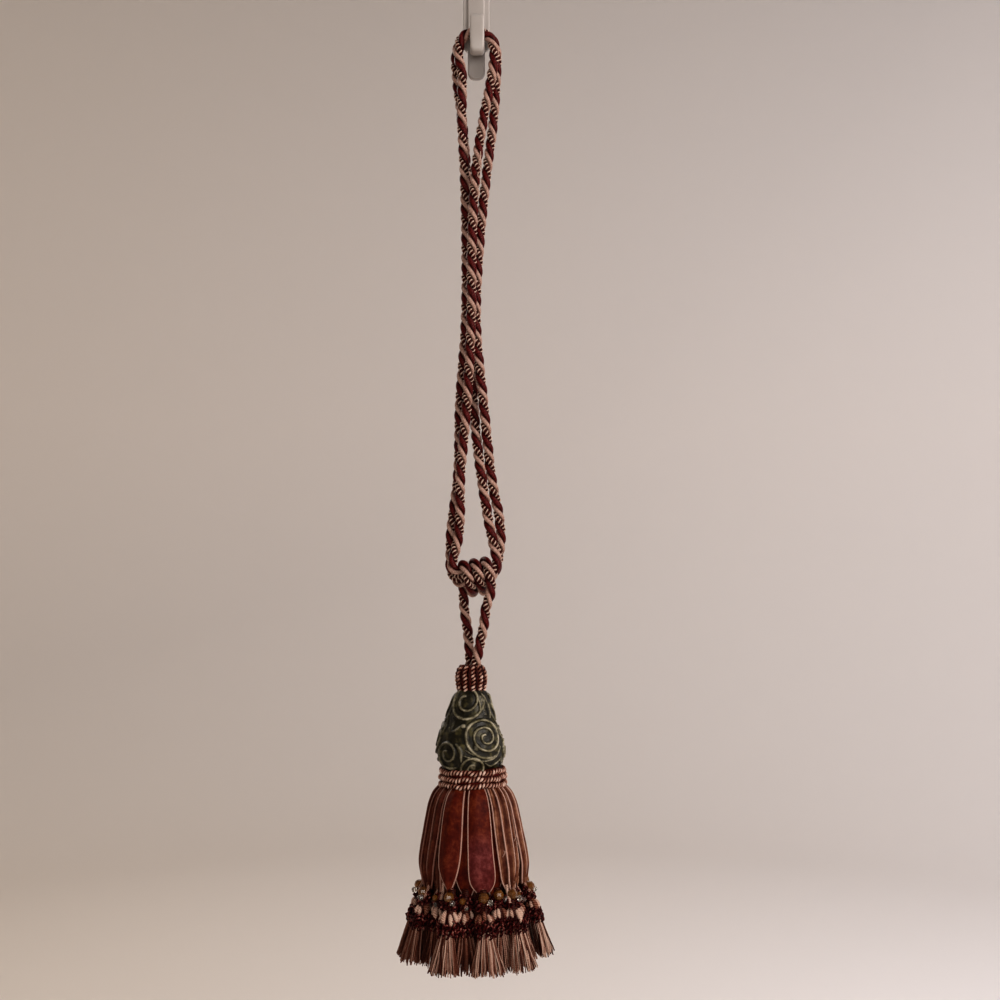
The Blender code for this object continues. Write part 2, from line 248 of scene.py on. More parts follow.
# %% [markdown]
# ## Finishes
#
# Every finish is built from nodes. Colours are written as the sRGB hex values a paint
# program shows, and turned to the linear values that Blender's shaders work in. One
# small function adds a node and hands back one of its outputs, ready for the next node.
# Painted images could hold the patterns instead, but a pattern made by nodes stays
# sharp close up, and its scale can be given in millimetres.


# %% Colour and node helpers
def linear(hex_colour):
    """Linear RGBA of a hex colour: c / 12.92 for dark values, else ((c + 0.055) / 1.055)^2.4."""
    srgb = np.array([int(hex_colour[i:i + 2], 16) / 255 for i in (0, 2, 4)])
    value = np.where(srgb <= 0.04045, srgb / 12.92, ((srgb + 0.055) / 1.055) ** 2.4)
    return (*value.tolist(), 1.0)


def cells(size_mm):
    """The scale that gives a noise cells of a size in mm, as coordinates are in metres."""
    return 1 / (size_mm * MM)


def set_inputs(node, inputs):
    """Link each input that is given a socket, and set each that is given a value."""
    for key, value in inputs.items():
        if isinstance(value, bpy.types.NodeSocket):
            node.id_data.links.new(value, node.inputs[key])
        else:
            node.inputs[key].default_value = value


def add_node(tree, kind, inputs=None, out=0, stops=(), **settings):
    """Add a node with its settings, inputs and colour stops, and return one of its outputs."""
    made = tree.nodes.new("ShaderNode" + kind)
    for key, value in settings.items():
        setattr(made, key, value)
    set_inputs(made, inputs or {})
    for k, (position, colour) in enumerate(stops):
        elements = made.color_ramp.elements
        stop = elements[k] if k < 2 else elements.new(position)
        stop.position, stop.color = position, linear(colour)
    return made.outputs[out]


def new_material(name, inputs):
    """A material, its node tree and its Principled shader with some inputs set."""
    made = bpy.data.materials.new(name)
    made.use_nodes = True
    shader = made.node_tree.nodes["Principled BSDF"]
    set_inputs(shader, inputs)
    return made, made.node_tree, shader


print("half of full brightness on a screen is", round(linear("808080")[0], 3), "of the light")

# %% [markdown]
# Rayon thread is a bundle of fine shiny filaments. Its gloss follows the filaments,
# and its colour changes a little from one to the next. The filaments are drawn as
# ridges that run along the strand, slightly turned, on the strand's UV map. The real
# ones are 0.02 mm thick, too fine to model or to show, so a few ridges, 1 to 1.5 mm
# apart on a ply, stand for them, and the dye's mottle is drawn as coarse. Light hardly
# reaches the groove between two strands, so a strand also darkens away from its
# crown, the line that faces outward, where the UV map begins. Where threads differ
# from one another or along their length, the tone attribute says how light each is.

# %% Thread finish
MOTTLE_MM = 1.1
EVEN_THREAD = (0.24, 1.1)      # how much the ridges and the mottle change the shade
TONED_THREAD = (0.16, 0.5)
EVEN_TONE = 0.6
CROWN_EDGES = (-0.2, 0.8)      # cosine of the way round where a groove and a crown begin


def thread_finish(name, shades, roughness, filaments=9, turn_per_mm=0.05, by_tone=False,
                  groove_shade=0.55):
    """Twisted thread in three shades, from the dark one in its grooves to its light one.

    A ridge is the sine of filaments x (share of the way round + turn_per_mm x mm along)
    turns. The shade is tone + ridge + mottle, less a painted shade off the crown, toward
    the grooves.
    """
    made, tree, shader = new_material(name, {"Roughness": roughness, "IOR": 1.53,
                                             "Specular IOR Level": 0.1})
    uv = add_node(tree, "UVMap", uv_map="UVMap")
    round_way = add_node(tree, "SeparateXYZ", {0: uv}, out=0)
    along = add_node(tree, "SeparateXYZ", {0: uv}, out=1)
    twist = add_node(tree, "Math", {0: along, 1: turn_per_mm, 2: round_way},
                     operation="MULTIPLY_ADD")
    phase = add_node(tree, "Math", {0: twist, 1: filaments * TAU}, operation="MULTIPLY")
    ridge = add_node(tree, "Math", {0: phase}, operation="SINE")
    place = add_node(tree, "TexCoord", out="Object")
    mottle = add_node(tree, "TexNoise", {"Vector": place, "Scale": cells(MOTTLE_MM), "Detail": 3.0})
    ridge_share, mottle_share = TONED_THREAD if by_tone else EVEN_THREAD
    tone = add_node(tree, "Attribute", out="Fac", attribute_name="tone") if by_tone else EVEN_TONE
    ridged = add_node(tree, "Math", {0: ridge, 1: ridge_share, 2: tone}, operation="MULTIPLY_ADD")
    mottled = add_node(tree, "Math", {0: mottle, 1: mottle_share, 2: ridged},
                       operation="MULTIPLY_ADD")
    level = add_node(tree, "Math", {0: mottled, 1: mottle_share / 2}, operation="SUBTRACT")
    angle = add_node(tree, "Math", {0: round_way, 1: TAU}, operation="MULTIPLY")
    crown = add_node(tree, "Math", {0: angle}, operation="COSINE")
    # painted shade: the strand is painted darker off its crown, toward the grooves
    groove = add_node(tree, "MapRange", {"Value": crown, "From Min": CROWN_EDGES[0],
                                         "From Max": CROWN_EDGES[1], "To Min": groove_shade,
                                         "To Max": 0.0})
    shade = add_node(tree, "Math", {0: level, 1: groove}, operation="SUBTRACT", use_clamp=True)
    colour = add_node(tree, "ValToRGB", {0: shade}, stops=tuple(zip((0.0, 0.5, 1.0), shades)))
    bump = add_node(tree, "Bump", {"Height": ridge, "Strength": 0.6, "Distance": 0.12 * MM})
    set_inputs(shader, {"Base Color": colour, "Normal": bump})
    return made


print("noise scale of the mottle:", round(cells(MOTTLE_MM)))

# %% Cord finishes
burgundy_ply = thread_finish("burgundy_rayon_ply", ("140000", "3D0A0A", "742828"), 0.34)
tan_ply = thread_finish("pink_tan_rayon_ply", ("4E2A23", "A07E72", "D0B2A8"), 0.42)
gimp_dark = thread_finish("burgundy_gimp_core", ("180000", "300504", "50120E"), 0.5, filaments=8)
gimp_cream = thread_finish("cream_gimp_strand", ("5E3026", "C2A394", "EAD5C7"), 0.45,
                           filaments=5)
cord_finishes = [burgundy_ply, tan_ply, gimp_dark, gimp_cream]
print("cord finishes:", [finish.name for finish in cord_finishes])

# %% [markdown]
# ## The ring cord
#
# The ring is one cord, about 1.7 m long. It hangs over the hook twice, and both
# bends at the bottom go through the coil of the tassel's own cord. A simulation could
# let it hang, but it would not come to rest just where the frame's own tubes run. So
# the route repeats the places that those tubes follow, in millimetres.

# %% The ring cord's route
STRAND_ROWS = (
    # height, then x and y of: front left, front right, back left, back right
    (-37.5, (-10.5, -18.8), (12.0, -18.8), (-14.5, -10.2), (15.0, -10.2)),
    (-70.0, (-10.5, -19.0), (6.0, -21.5), (-10.5, -10.5), (13.0, -12.8)),
    (-110.0, (-8.5, -19.2), (0.3, -26.0), (-7.0, -11.0), (8.2, -17.5)),
    (-160.0, (-7.2, -20.5), (-2.5, -30.0), (-3.5, -12.8), (3.2, -23.0)),
    (-225.0, (-7.5, -23.7), (-3.2, -34.4), (-1.8, -17.4), (0.4, -27.2)),
    (-285.0, (-11.6, -26.7), (-6.3, -34.8), (-1.5, -23.3), (6.0, -30.3)),
    (-335.0, (-12.8, -29.0), (-10.8, -36.9), (4.0, -33.7), (11.2, -31.0)),
    (-386.0, (-18.2, -32.6), (-13.2, -38.6), (13.0, -36.4), (18.3, -30.6)),
)
FRONT_ARCH = ((-12.8, -17.0, -20.0), (-9.2, -16.7, -9.9), (0.3, -16.7, -6.1),
              (9.8, -16.7, -9.9), (13.4, -17.0, -20.0))
BACK_ARCH = ((-14.8, -9.2, -19.0), (-10.6, -8.8, -8.2), (0.3, -8.7, -4.1),
             (11.2, -8.8, -8.2), (15.2, -9.2, -19.0))
LOWER_BEND = ((-18.2, -32.8, -397.0), (-17.4, -33.3, -407.0), (-11.8, -34.2, -414.4),
              (-4.0, -34.3, -414.1), (1.8, -34.4, -413.3), (8.5, -34.2, -412.3),
              (13.3, -32.6, -408.6), (16.1, -30.8, -401.5), (17.3, -30.2, -394.0))
UPPER_BEND = ((-15.4, -40.0, -395.0), (-16.6, -41.0, -401.5), (-14.5, -41.3, -406.6),
              (-9.0, -41.0, -409.2), (1.6, -40.7, -408.1), (7.0, -40.7, -407.5),
              (12.4, -40.4, -406.2), (15.5, -39.2, -401.5), (15.0, -38.2, -394.5))
BEND_MIDDLE = 4
ROUTE_STEP = 1.0


def strand(column):
    """Places down one strand, from the hook to the knot."""
    return [(row[column][0], row[column][1], row[0]) for row in STRAND_ROWS]


ring_route = [
    *reversed(LOWER_BEND[:BEND_MIDDLE + 1]), *reversed(strand(1)), *FRONT_ARCH, *strand(2),
    *UPPER_BEND, *reversed(strand(3)), *BACK_ARCH, *strand(4), *reversed(LOWER_BEND[BEND_MIDDLE:]),
]
ring_line = even_steps(smooth_curve(ring_route), ROUTE_STEP)[:-1]

# %% [markdown]
# ## The tassel's loop and its coil
#
# The tassel hangs from the ring by a loop of the same cord. It comes up behind the
# two bends, goes round them two and a half times and comes down in front. A round
# coil would stand off the pair of cords on two sides. A turn drawn tight round them is
# a stadium: half a circle round each cord and a straight run between.

# %% The loop's route
COIL_MIDDLE = np.array([2.7, -37.5, -410.4])
COIL_AXIS = np.array([0.99, 0.02, 0.14])
COIL_TILT_DEG = 50.0
COIL_FROM_DEG, COIL_TO_DEG = -105, 795
COIL_PITCH = 7.9
PAIR_HALF = 3.9              # half the spread of the two bends inside the coil
TURN_RADIUS = 8.1
BAIL_LEFT = ((-3.8, -36.4, -476.0), (-4.3, -35.8, -462.0), (-6.3, -33.0, -446.0),
             (-8.6, -29.6, -430.0))
BAIL_RIGHT = ((11.4, -48.2, -412.5), (11.3, -47.5, -420.4), (8.4, -46.4, -430.0),
              (6.4, -45.5, -443.8), (3.6, -44.6, -458.0), (-0.2, -43.2, -476.0))


def coil_turns(start_deg, end_deg, step_deg=15.0):
    """Turns round both bends: 0 degrees is over the top, 90 in front, 270 behind.

    A place is the middle + (shift + radius cos a) the long way + radius sin a the short
    way, where the shift, from one bend to the other, is 3 cos a kept within -1 and 1.
    """
    axis = COIL_AXIS / np.linalg.norm(COIL_AXIS)
    front = np.array([0.0, -1.0, 0.0])
    front = unit(front - axis * (front @ axis))
    up = np.cross(front, axis)
    tilt = math.radians(COIL_TILT_DEG)
    long_way = math.cos(tilt) * up + math.sin(tilt) * front
    short_way = math.cos(tilt) * front - math.sin(tilt) * up
    angle = np.radians(np.arange(start_deg, end_deg + 1, step_deg) - COIL_TILT_DEG)[:, None]
    second_front = math.radians(360 + 90 - COIL_TILT_DEG)
    along = axis * COIL_PITCH * (angle - second_front) / TAU
    shift = PAIR_HALF * np.clip(3 * np.cos(angle), -1, 1)
    return (COIL_MIDDLE + along + (shift + TURN_RADIUS * np.cos(angle)) * long_way
            + TURN_RADIUS * np.sin(angle) * short_way)


bail_route = [*BAIL_LEFT, *coil_turns(COIL_FROM_DEG, COIL_TO_DEG), *BAIL_RIGHT]
bail_line = even_steps(smooth_curve(bail_route), ROUTE_STEP)

# %% [markdown]
# ## Laying the cord
#
# The cord has three plies: a burgundy one, a pink-tan one, and a gimp, which is a
# burgundy core with a cream strand wound round it the other way, so the cream shows
# as a row of slanted grains. One tube with a twisted pattern would be lighter, but its
# outline would be smooth, and a cord's outline is its plies, so each ply is a body. The
# plies are soft and press flat against each other, so they are a little thicker than
# three circles that only touch.

# %% The three plies
CORD_LAY = 22.0
PLIES = (
    # radius, stand-off and sides: burgundy, pink-tan and the gimp's core
    (2.12, 1.82, 12), (1.60, 2.25, 12), (1.45, 1.98, 8),
)
PLY_STEP = 1.25
GIMP_STRAND_R, GIMP_LAY, GIMP_STEP = 0.52, -2.5, 0.3


def laid_cord(line, reference, start):
    """Three plies wound a third of a turn apart, and a strand wound round the last of them."""
    parts = []
    coarse, fine = even_steps(line, PLY_STEP), even_steps(line, GIMP_STEP)
    for k, (radius, stand_off, sides) in enumerate(PLIES):
        ply, outward = wind(coarse, reference, stand_off, CORD_LAY, start + k * TAU / 3)
        parts.append(grid(tube(ply, outward, radius, sides), finish=k))
    core_r, core_off = PLIES[2][:2]
    core, outward = wind(fine, reference, core_off, CORD_LAY, start + 2 * TAU / 3)
    strand_line, outward = wind(core, outward, core_r, GIMP_LAY)
    parts.append(grid(tube(strand_line, outward, GIMP_STRAND_R, sides=5), finish=3))
    return parts


# %% Cords and a pulled thread
# the thread zigzags down between two strands and lies on them
PULLED_FROM, PULLED_BY = np.array((3.6, -29.6, -99.0)), np.array((-1.0, -3.2, -35.0))
ZIGZAG, ZIGZAG_TURN = 1.5, 22
PULLED_R = 0.28
FRONT, RIGHT = (0, -1, 0), (1, 0, 0)

pull = np.linspace(0, 1, 60)[:, None]
zigzag = ZIGZAG * np.sin(pull * ZIGZAG_TURN) * np.sin(pull * math.pi)
pulled_line = PULLED_FROM + PULLED_BY * pull + zigzag * np.array(RIGHT)
ring_cord = piece("ring_cord", laid_cord(ring_line, FRONT, 0.4), cord_finishes)
pulled = piece("pulled_thread", [grid(tube(pulled_line, FRONT, PULLED_R, sides=5))],
               [gimp_cream])
bail_cord = piece("bail_cord", laid_cord(bail_line, RIGHT, 1.2), cord_finishes)
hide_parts("cord_front_loop", "cord_back_loop")
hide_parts("cord_bail")

# %% [markdown]
# ## The wall hook
#
# The hook is a plain moulded plastic clip: a plate on the wall, a pad with a round
# end, and a prong that turns up in front and holds the cord. The grey plastic is satin
# from its mould, so it gives wide soft highlights over a nearly even colour. Mouldings
# have no sharp edge anywhere. A Bevel modifier could round a box, but the prong thins
# and curls as it goes, so it is made from rounded sections, and the plate's rim is a
# few outlines that shrink along a quarter circle.

# %% Hook plastic
CLOUD_MM, GRAIN_MM = 16, 0.7     # faint clouds in the plastic, and the satin of its mould

hook_plastic, tree, shader = new_material("moulded_grey_plastic", {"Roughness": 0.38, "IOR": 1.49})
place = add_node(tree, "TexCoord", out="Object")
cloud = add_node(tree, "TexNoise", {"Vector": place, "Scale": cells(CLOUD_MM), "Detail": 4.0})
shade = add_node(tree, "Mix", {0: cloud, 6: linear("9C9693"), 7: linear("ACA7A6")}, out=2,
                 data_type="RGBA")
grain = add_node(tree, "TexNoise", {"Vector": place, "Scale": cells(GRAIN_MM), "Detail": 2.0})
satin = add_node(tree, "Bump", {"Height": grain, "Strength": 0.25, "Distance": 0.1 * MM})
set_inputs(shader, {"Base Color": shade, "Normal": satin})
print("hook finish:", hook_plastic.name)

# %% Plate and pad
SLABS = (
    # width, top, bottom, back, front, corner radius, rim radius: the plate, then the pad
    (20.2, 35.0, -16.0, 0.0, -2.6, 5.0, 0.9), (13.2, 31.0, -37.0, -0.4, -4.5, 5.5, 1.3),
)


def rounded_slab(width, top, bottom, back, front, corner, rim):
    """Rounded rectangles stacked from wall to room; the last few shrink along a quarter circle.

    Each corner is its centre + (corner radius - inset) x a quarter of a unit circle. Along
    the rim, the inset is rim (1 - cos roll) as y goes through rim (1 - sin roll).
    """
    turn = np.linspace(0, math.pi / 2, 9)
    quarter = np.stack([np.cos(turn), np.sin(turn)], axis=1)
    sweep = [quarter @ np.array([[c, s], [-s, c]]) for c, s in ((1, 0), (0, 1), (-1, 0), (0, -1))]
    side, high, low = width / 2 - corner, top - corner, bottom + corner
    centres = np.array([(side, high), (-side, high), (-side, low), (side, low)])
    roll = np.concatenate([[0.0], np.linspace(0, math.pi / 2, 7)])
    inset = rim * (1 - np.cos(roll))
    y = np.concatenate([[back], front + rim * (1 - np.sin(roll[1:]))])
    outline = np.concatenate(sweep)
    middle = np.repeat(centres, 9, axis=0)
    flat = middle + outline * (corner - inset)[:, None, None]
    return np.stack([flat[..., 0], np.broadcast_to(y[:, None], flat.shape[:2]), flat[..., 1]],
                    axis=-1)


slabs = [grid(rounded_slab(*sizes)) for sizes in SLABS]
print("points on the plate:", slabs[0]["points"][..., 0].size)

# %% Prong
PRONG_ROWS = (
    # upper face y and z, lower face y and z, share of the width
    (-3.0, -7.6, -3.0, -17.6, 1.00), (-8.6, -8.9, -8.2, -20.2, 1.00),
    (-13.5, -10.4, -13.5, -22.8, 1.00), (-17.5, -10.7, -19.0, -24.3, 1.00),
    (-20.1, -9.3, -23.3, -22.6, 1.00), (-21.0, -6.3, -24.7, -17.5, 1.00),
    (-21.2, -2.5, -24.9, -8.0, 1.00), (-21.3, 1.5, -24.8, 0.0, 1.00),
    (-21.7, 3.9, -24.4, 3.4, 0.90), (-22.5, 4.8, -23.7, 4.7, 0.62),
)
PRONG_W = 10.8
PRONG_X = 1.0


def prong_grid():
    """Sections across the prong, from its lower face to its upper one.

    Round each section, x and the way through go as cos and sin of the angle, each raised
    to the power 0.5 with its sign kept, which makes a square with round corners.
    """
    rows = smooth_curve(PRONG_ROWS, pieces=5)
    angle = np.arange(36) * TAU / 36
    across = np.sign(np.cos(angle)) * np.abs(np.cos(angle)) ** 0.5
    through = np.sign(np.sin(angle)) * np.abs(np.sin(angle)) ** 0.5
    middle, half = (rows[:, :2] + rows[:, 2:4]) / 2, (rows[:, :2] - rows[:, 2:4]) / 2
    yz = middle[:, None] + half[:, None] * through[:, None]
    x = PRONG_X + PRONG_W / 2 * rows[:, 4, None] * across
    return np.concatenate([x[..., None], yz], axis=-1)


hook = piece("hook", [*slabs, grid(prong_grid())], [hook_plastic])
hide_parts("wall_hook")

# %% [markdown]
# ## The tassel's own coordinates
#
# Everything on the tassel stands round one axis that leans a little. A place on it is
# given by an angle from the front, a distance from the axis and a depth below the
# tassel's top, and one function turns those three into a place in the room. An empty
# could carry the lean, but a piece that holds its place in its own mesh exports as it
# is and keeps its pattern still.

# %% Places on the tassel
TASSEL_TOP = np.array([-2.9, -40.0, -473.4])
LEAN, SWAY = math.radians(-5.0), math.radians(-0.9)
SWAY_TURN = np.array([[math.cos(SWAY), 0, math.sin(SWAY)], [0, 1, 0],
                      [-math.sin(SWAY), 0, math.cos(SWAY)]])
LEAN_TURN = np.array([[1, 0, 0], [0, math.cos(LEAN), -math.sin(LEAN)],
                      [0, math.sin(LEAN), math.cos(LEAN)]])
TURN = SWAY_TURN @ LEAN_TURN


def on_tassel(angle, radius, depth):
    """Places at an angle from the front, a distance from the axis and a depth below the top.

    (radius sin a, -radius cos a, -depth), turned by the lean and moved to the tassel's top.
    """
    local = np.stack(np.broadcast_arrays(radius * np.sin(angle), -radius * np.cos(angle),
                                         -np.asarray(depth, dtype=float)), axis=-1)
    return local @ TURN.T + TASSEL_TOP


def around(angle):
    """The directions outward and sideways at an angle on the tassel."""
    axis = on_tassel(0.0, 0.0, 0.0)
    return on_tassel(angle, 1.0, 0.0) - axis, on_tassel(angle + math.pi / 2, 1.0, 0.0) - axis


def turned(profile, columns):
    """A solid of revolution on the tassel's axis from (radius, depth) rows."""
    rows = np.asarray(profile, dtype=float)
    angle = np.arange(columns) * TAU / columns
    return on_tassel(angle, rows[:, :1], rows[:, 1:2])


down_axis = on_tassel(0.0, 0.0, 1.0) - TASSEL_TOP
print("the axis runs along", np.round(down_axis, 3))

# %% [markdown]
# ## Small twisted cords
#
# The neck and the collar are covered in a finer cord of two pink-tan strands twisted
# hard together. What shows is a row of slanted grains with dark gaps between. Grains
# could be set down one by one, but strands that are really wound also look right at
# the cord's ends and bends, so it is two light strands round a dark core.

# %% Trimming cord
trim_light = thread_finish("pink_tan_trimming_thread", ("2E0A06", "8C5C4C", "DCC0B4"), 0.42,
                           filaments=4, turn_per_mm=0.2, by_tone=True, groove_shade=0.35)
trim_dark = thread_finish("maroon_trimming_core", ("180000", "3A0A07", "5C1C15"), 0.6,
                          filaments=5)
TRIM_R = 0.72
CORE_SHARE = 0.95            # the core's radius over the strands' stand-off
SWELL = 0.24                 # how much a grain's thickness varies


def trimming_cord(line, reference, strand, stand_off, lay, outward, start=0.0, finishes=(0, 1)):
    """Two light strands wound round a dark core, with painted shade where they turn from the open
    side.

    Each grain swells and pales by its own amount: two sines of the way along, out of step.
    """
    parts = [grid(tube(line, reference, CORE_SHARE * stand_off, sides=8), finish=finishes[0])]
    run = run_length(line)[..., None]
    for k in range(2):
        wound, away = wind(line, reference, stand_off, lay, start + k * math.pi)
        # painted shade: a strand is painted darker as it turns away from the open side
        painted_light_share = np.clip((away * outward).sum(axis=-1), 0, 1)[..., None]
        uneven = 0.5 * np.sin(run * 1.9 + 2 * k + start) + 0.5 * np.sin(run * 0.83 + 5 * k)
        swell = strand * (1 + SWELL * uneven[..., 0])
        parts.append(grid(tube(wound, away, swell, sides=6), finish=finishes[1],
                          tone=0.05 + (0.72 + 0.38 * uneven) * painted_light_share))
    return parts


print("trimming finishes:", trim_light.name, "and", trim_dark.name)


# %% [markdown]
# ## Neck
#
# Eleven upright pink-tan cords stand round the head's narrow top, with a plain maroon
# cord in each gap. They turn in over its shoulder to the hole that the tassel's loop
# comes out of. A dark plug behind them closes what is left. An Array modifier could
# copy one cord round, but then all the twists would line up. One array of angles makes
# them all at once, and each twist starts at a place of its own.

# %% Neck cords
NECK_CORDS = 11
NECK_ROWS = (
    # radius and depth along an upright cord, as in the plug behind them
    (5.0, 2.0), (7.4, 2.2), (9.3, 4.4), (10.1, 8.0), (10.1, 12.0), (9.4, 16.5), (8.4, 20.5),
)
NECK_PLUG = ((0.5, 1.6), (5.0, 2.2), (7.6, 4.0), (8.4, 7.5), (8.4, 14.0), (7.8, 21.0))
NECK_STAND_OFF, NECK_LAY = 1.2, -5.2
GAP_CORD_R, GAP_SINK, GAP_DROP = 1.5, 0.5, 0.4
neck_rows = even_steps(smooth_curve(NECK_ROWS), 0.5)
neck_angle = (np.arange(NECK_CORDS)[:, None] + 0.25) * TAU / NECK_CORDS
neck_line = on_tassel(neck_angle, neck_rows[:, 0], neck_rows[:, 1])
neck_outward, neck_sideways = around(neck_angle)
between = neck_angle + math.pi / NECK_CORDS
gap_line = on_tassel(between, neck_rows[:, 0] - GAP_SINK, neck_rows[:, 1] + GAP_DROP)
neck_starts = 1.7 * np.arange(NECK_CORDS)[:, None, None]**2      # so no two cords match
neck = piece("neck_cords", [
    grid(turned(NECK_PLUG, columns=40)[:, ::-1], finish=0),
    grid(tube(gap_line, around(between)[1], GAP_CORD_R, sides=8), finish=0),
    *trimming_cord(neck_line, neck_sideways, TRIM_R, NECK_STAND_OFF, NECK_LAY, neck_outward,
                   start=neck_starts)], [trim_dark, trim_light])
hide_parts("neck")

# %% [markdown]
# ## Carved head
#
# The head is a pear shape in cast olive resin with scrolls in relief. The resin has a
# soft gloss and dark clouds. Gold was rubbed over it by hand, so it is dull and patchy
# and reaches only the raised parts. The carving could be sculpted, but a formula keeps
# each scroll clean and lets one number move it. Each scroll's crest is a spiral that
# moves out from its eye by the same step every turn. For a point at a distance and an
# angle from the eye, the nearest crest is found by rounding to a whole turn, so the
# relief is worked out over the whole grid. Short strokes use the distance to a line.

# %% Where the carving goes
HEAD_ROWS = (
    # radius and depth
    (9.9, 18.5), (11.5, 21.0), (13.3, 26.0), (15.7, 33.2), (18.3, 40.4), (21.1, 47.6),
    (23.0, 54.5), (23.9, 60.0), (23.8, 64.5), (22.7, 69.0), (21.1, 72.0), (20.1, 75.0),
)
HEAD_SHIFT = -1.3           # the carving bulges to the left of the axis by this much
SCROLLS = (
    # eye: degrees from the front and depth; crest at the start, step each turn, turns,
    # height over width, hand
    (-15.5, 25.8, 3.4, 5.6, 1.80, 1.02, 1),
    (28.0, 50.6, 1.9, 5.6, 2.60, 0.90, 1),
    (-44.0, 62.0, 2.2, 5.4, 1.62, 1.00, 1),
    (4.0, 72.5, 3.0, 4.8, 1.30, 1.00, 1),
    (88.0, 61.5, 2.2, 5.3, 1.60, 1.00, -1),
    (118.0, 29.5, 2.4, 5.4, 1.70, 1.00, 1),
    (146.0, 53.0, 1.9, 5.3, 2.50, 0.95, 1),
    (205.0, 62.0, 2.2, 5.4, 1.60, 1.00, -1),
    (238.0, 29.0, 2.4, 5.4, 1.70, 1.00, -1),
    (262.0, 53.5, 2.0, 5.3, 2.30, 0.95, 1),
)
STROKES = (
    # half width and height, then degrees from the front and depth along it
    (1.1, 0.6, ((-49, 44), (-42, 46.5), (-34, 46.0), (-27, 44), (-20, 42.3))),
    (0.9, 0.5, ((-47, 37), (-41, 40), (-43, 45))),
    (1.5, 1.0, ((-27, 55.0), (-21, 57.5), (-17.5, 61.5), (-17.5, 67))),
    (1.0, 0.8, ((-16, 62.5), (-4, 64.0), (12, 66.5), (30, 66.8), (48, 64.0), (60, 58.0))),
    (0.9, 0.7, ((-10, 59.0), (0, 61.5), (12, 63.0))),
    (1.0, 0.8, ((24, 68.5), (36, 71.0), (50, 69.0), (62, 66.0))),
    (3.6, 0.45, ((22, 21), (30, 25), (37, 30), (38, 35))),
    (0.9, 0.9, ((17, 20.5), (22, 24), (25, 29), (22, 33))),
    (0.9, 0.9, ((36, 20.5), (49, 25), (56, 32), (50, 38))),
    (1.0, 0.8, ((56, 33), (66, 38), (74, 44), (68, 50))),
    (0.9, 0.7, ((62, 42), (70, 48), (78, 53))),
    (1.0, 0.7, ((-60, 28), (-66, 35), (-60, 42), (-68, 49))),
    (0.9, 0.6, ((-52, 20.5), (-58, 25), (-54, 31))),
    (0.9, 0.7, ((95, 44), (106, 46), (116, 43), (122, 47))),
    (0.9, 0.7, ((70, 20.5), (84, 26), (92, 34), (84, 40))),
    (1.0, 0.7, ((170, 22), (180, 29), (172, 36), (182, 43), (176, 50))),
    (0.9, 0.7, ((110, 67), (130, 69.5), (150, 69), (172, 66))),
    (0.9, 0.7, ((232, 69), (250, 70), (270, 68.5), (290, 65))),
    (1.0, 0.7, ((210, 42), (222, 45), (234, 42), (240, 46))),
    (0.9, 0.7, ((288, 24), (296, 32), (288, 40), (280, 38))),
)
KNOBS = (
    # degrees from the front, depth, radius and height
    (-16.3, 42.6, 1.9, 1.2), (2.0, 70.5, 3.4, 0.7), (9.0, 57.0, 3.0, 0.6),
    (108.0, 52.0, 1.9, 1.2), (228.0, 52.0, 1.9, 1.2), (180.0, 57.0, 1.6, 1.0),
    (-74.0, 55.0, 1.8, 1.0), (66.0, 68.5, 1.6, 0.8),
)
RELIEF = 1.6
print(len(SCROLLS), "scrolls,", len(STROKES), "strokes and", len(KNOBS), "knobs")


# %% Ridges
def bead(distance, half_width):
    """Height of a rounded ridge: (1 - (distance / half width)^2)^0.8, and 0 past its sides."""
    return np.clip(1 - (distance / half_width) ** 2, 0, 1) ** 0.8


def turn_share(angle):
    """An angle in radians as a share of a turn between -0.5 and 0.5."""
    return (angle / TAU + 0.5) % 1 - 0.5


ridge_heights = bead(np.array((0, 0.5, 1)), 1)
print("a ridge at its crest, half way out and at its side:", ridge_heights.round(2))


# %% Scrolls, strokes and knobs
def scroll(angle, depth, radius, eye_deg, eye_depth, first, step, turns, tall, hand):
    """A spiral ridge whose crest is first + step x turns from its eye, starting upward.

    A place's share of a turn is known from its direction. The whole turns before it are
    (distance - first) / step - share, rounded to the nearest that the scroll has.
    """
    x = hand * TAU * turn_share(angle - math.radians(eye_deg)) * radius
    y = (eye_depth - depth) / tall
    reach = np.hypot(x, y)
    share = (np.arctan2(y, x) / TAU - 0.25) % 1
    whole = np.clip(np.round((reach - first) / step - share), 0, np.floor(turns - share))
    crest = first + step * (share + whole)
    fade = np.clip((turns - share - whole) / 0.10, 0, 1) ** 0.5
    height = bead(reach - crest, 1.0 + 0.14 * (share + whole)) * fade
    return np.where(share + whole > turns, 0, height)


def stroke(angle, depth, radius, half_width, height, places):
    """A ridge along a smooth line of (degrees, depth) places, by the least distance to it.

    Dividing the distance by a sine of the way along narrows the ridge to its ends.
    """
    line = smooth_curve(places, pieces=12)
    taper = np.sin(np.linspace(0.12, math.pi - 0.12, len(line))) ** 0.4
    x = TAU * turn_share(angle[..., None] - np.radians(line[:, 0])) * radius[..., None]
    distance = np.hypot(x, depth[..., None] - line[:, 1]) / taper
    return height * bead(distance.min(axis=-1), half_width)


def head_relief(angle, depth, radius):
    """At each place, the highest of all the scrolls, strokes and knobs."""
    height = np.zeros(np.broadcast_shapes(angle.shape, depth.shape))
    angle, depth, radius = np.broadcast_arrays(angle, depth, radius)
    for row in SCROLLS:
        height = np.maximum(height, scroll(angle, depth, radius, *row))
    for half_width, peak, places in STROKES:
        height = np.maximum(height, stroke(angle, depth, radius, half_width, peak, places))
    for degrees, at, size, peak in KNOBS:
        x = TAU * turn_share(angle - math.radians(degrees)) * radius
        height = np.maximum(height, peak * bead(np.hypot(x, depth - at), size))
    return height


first, step, turns = SCROLLS[0][2:5]
print(f"the first scroll reaches {first + step * turns:.1f} mm from its eye")

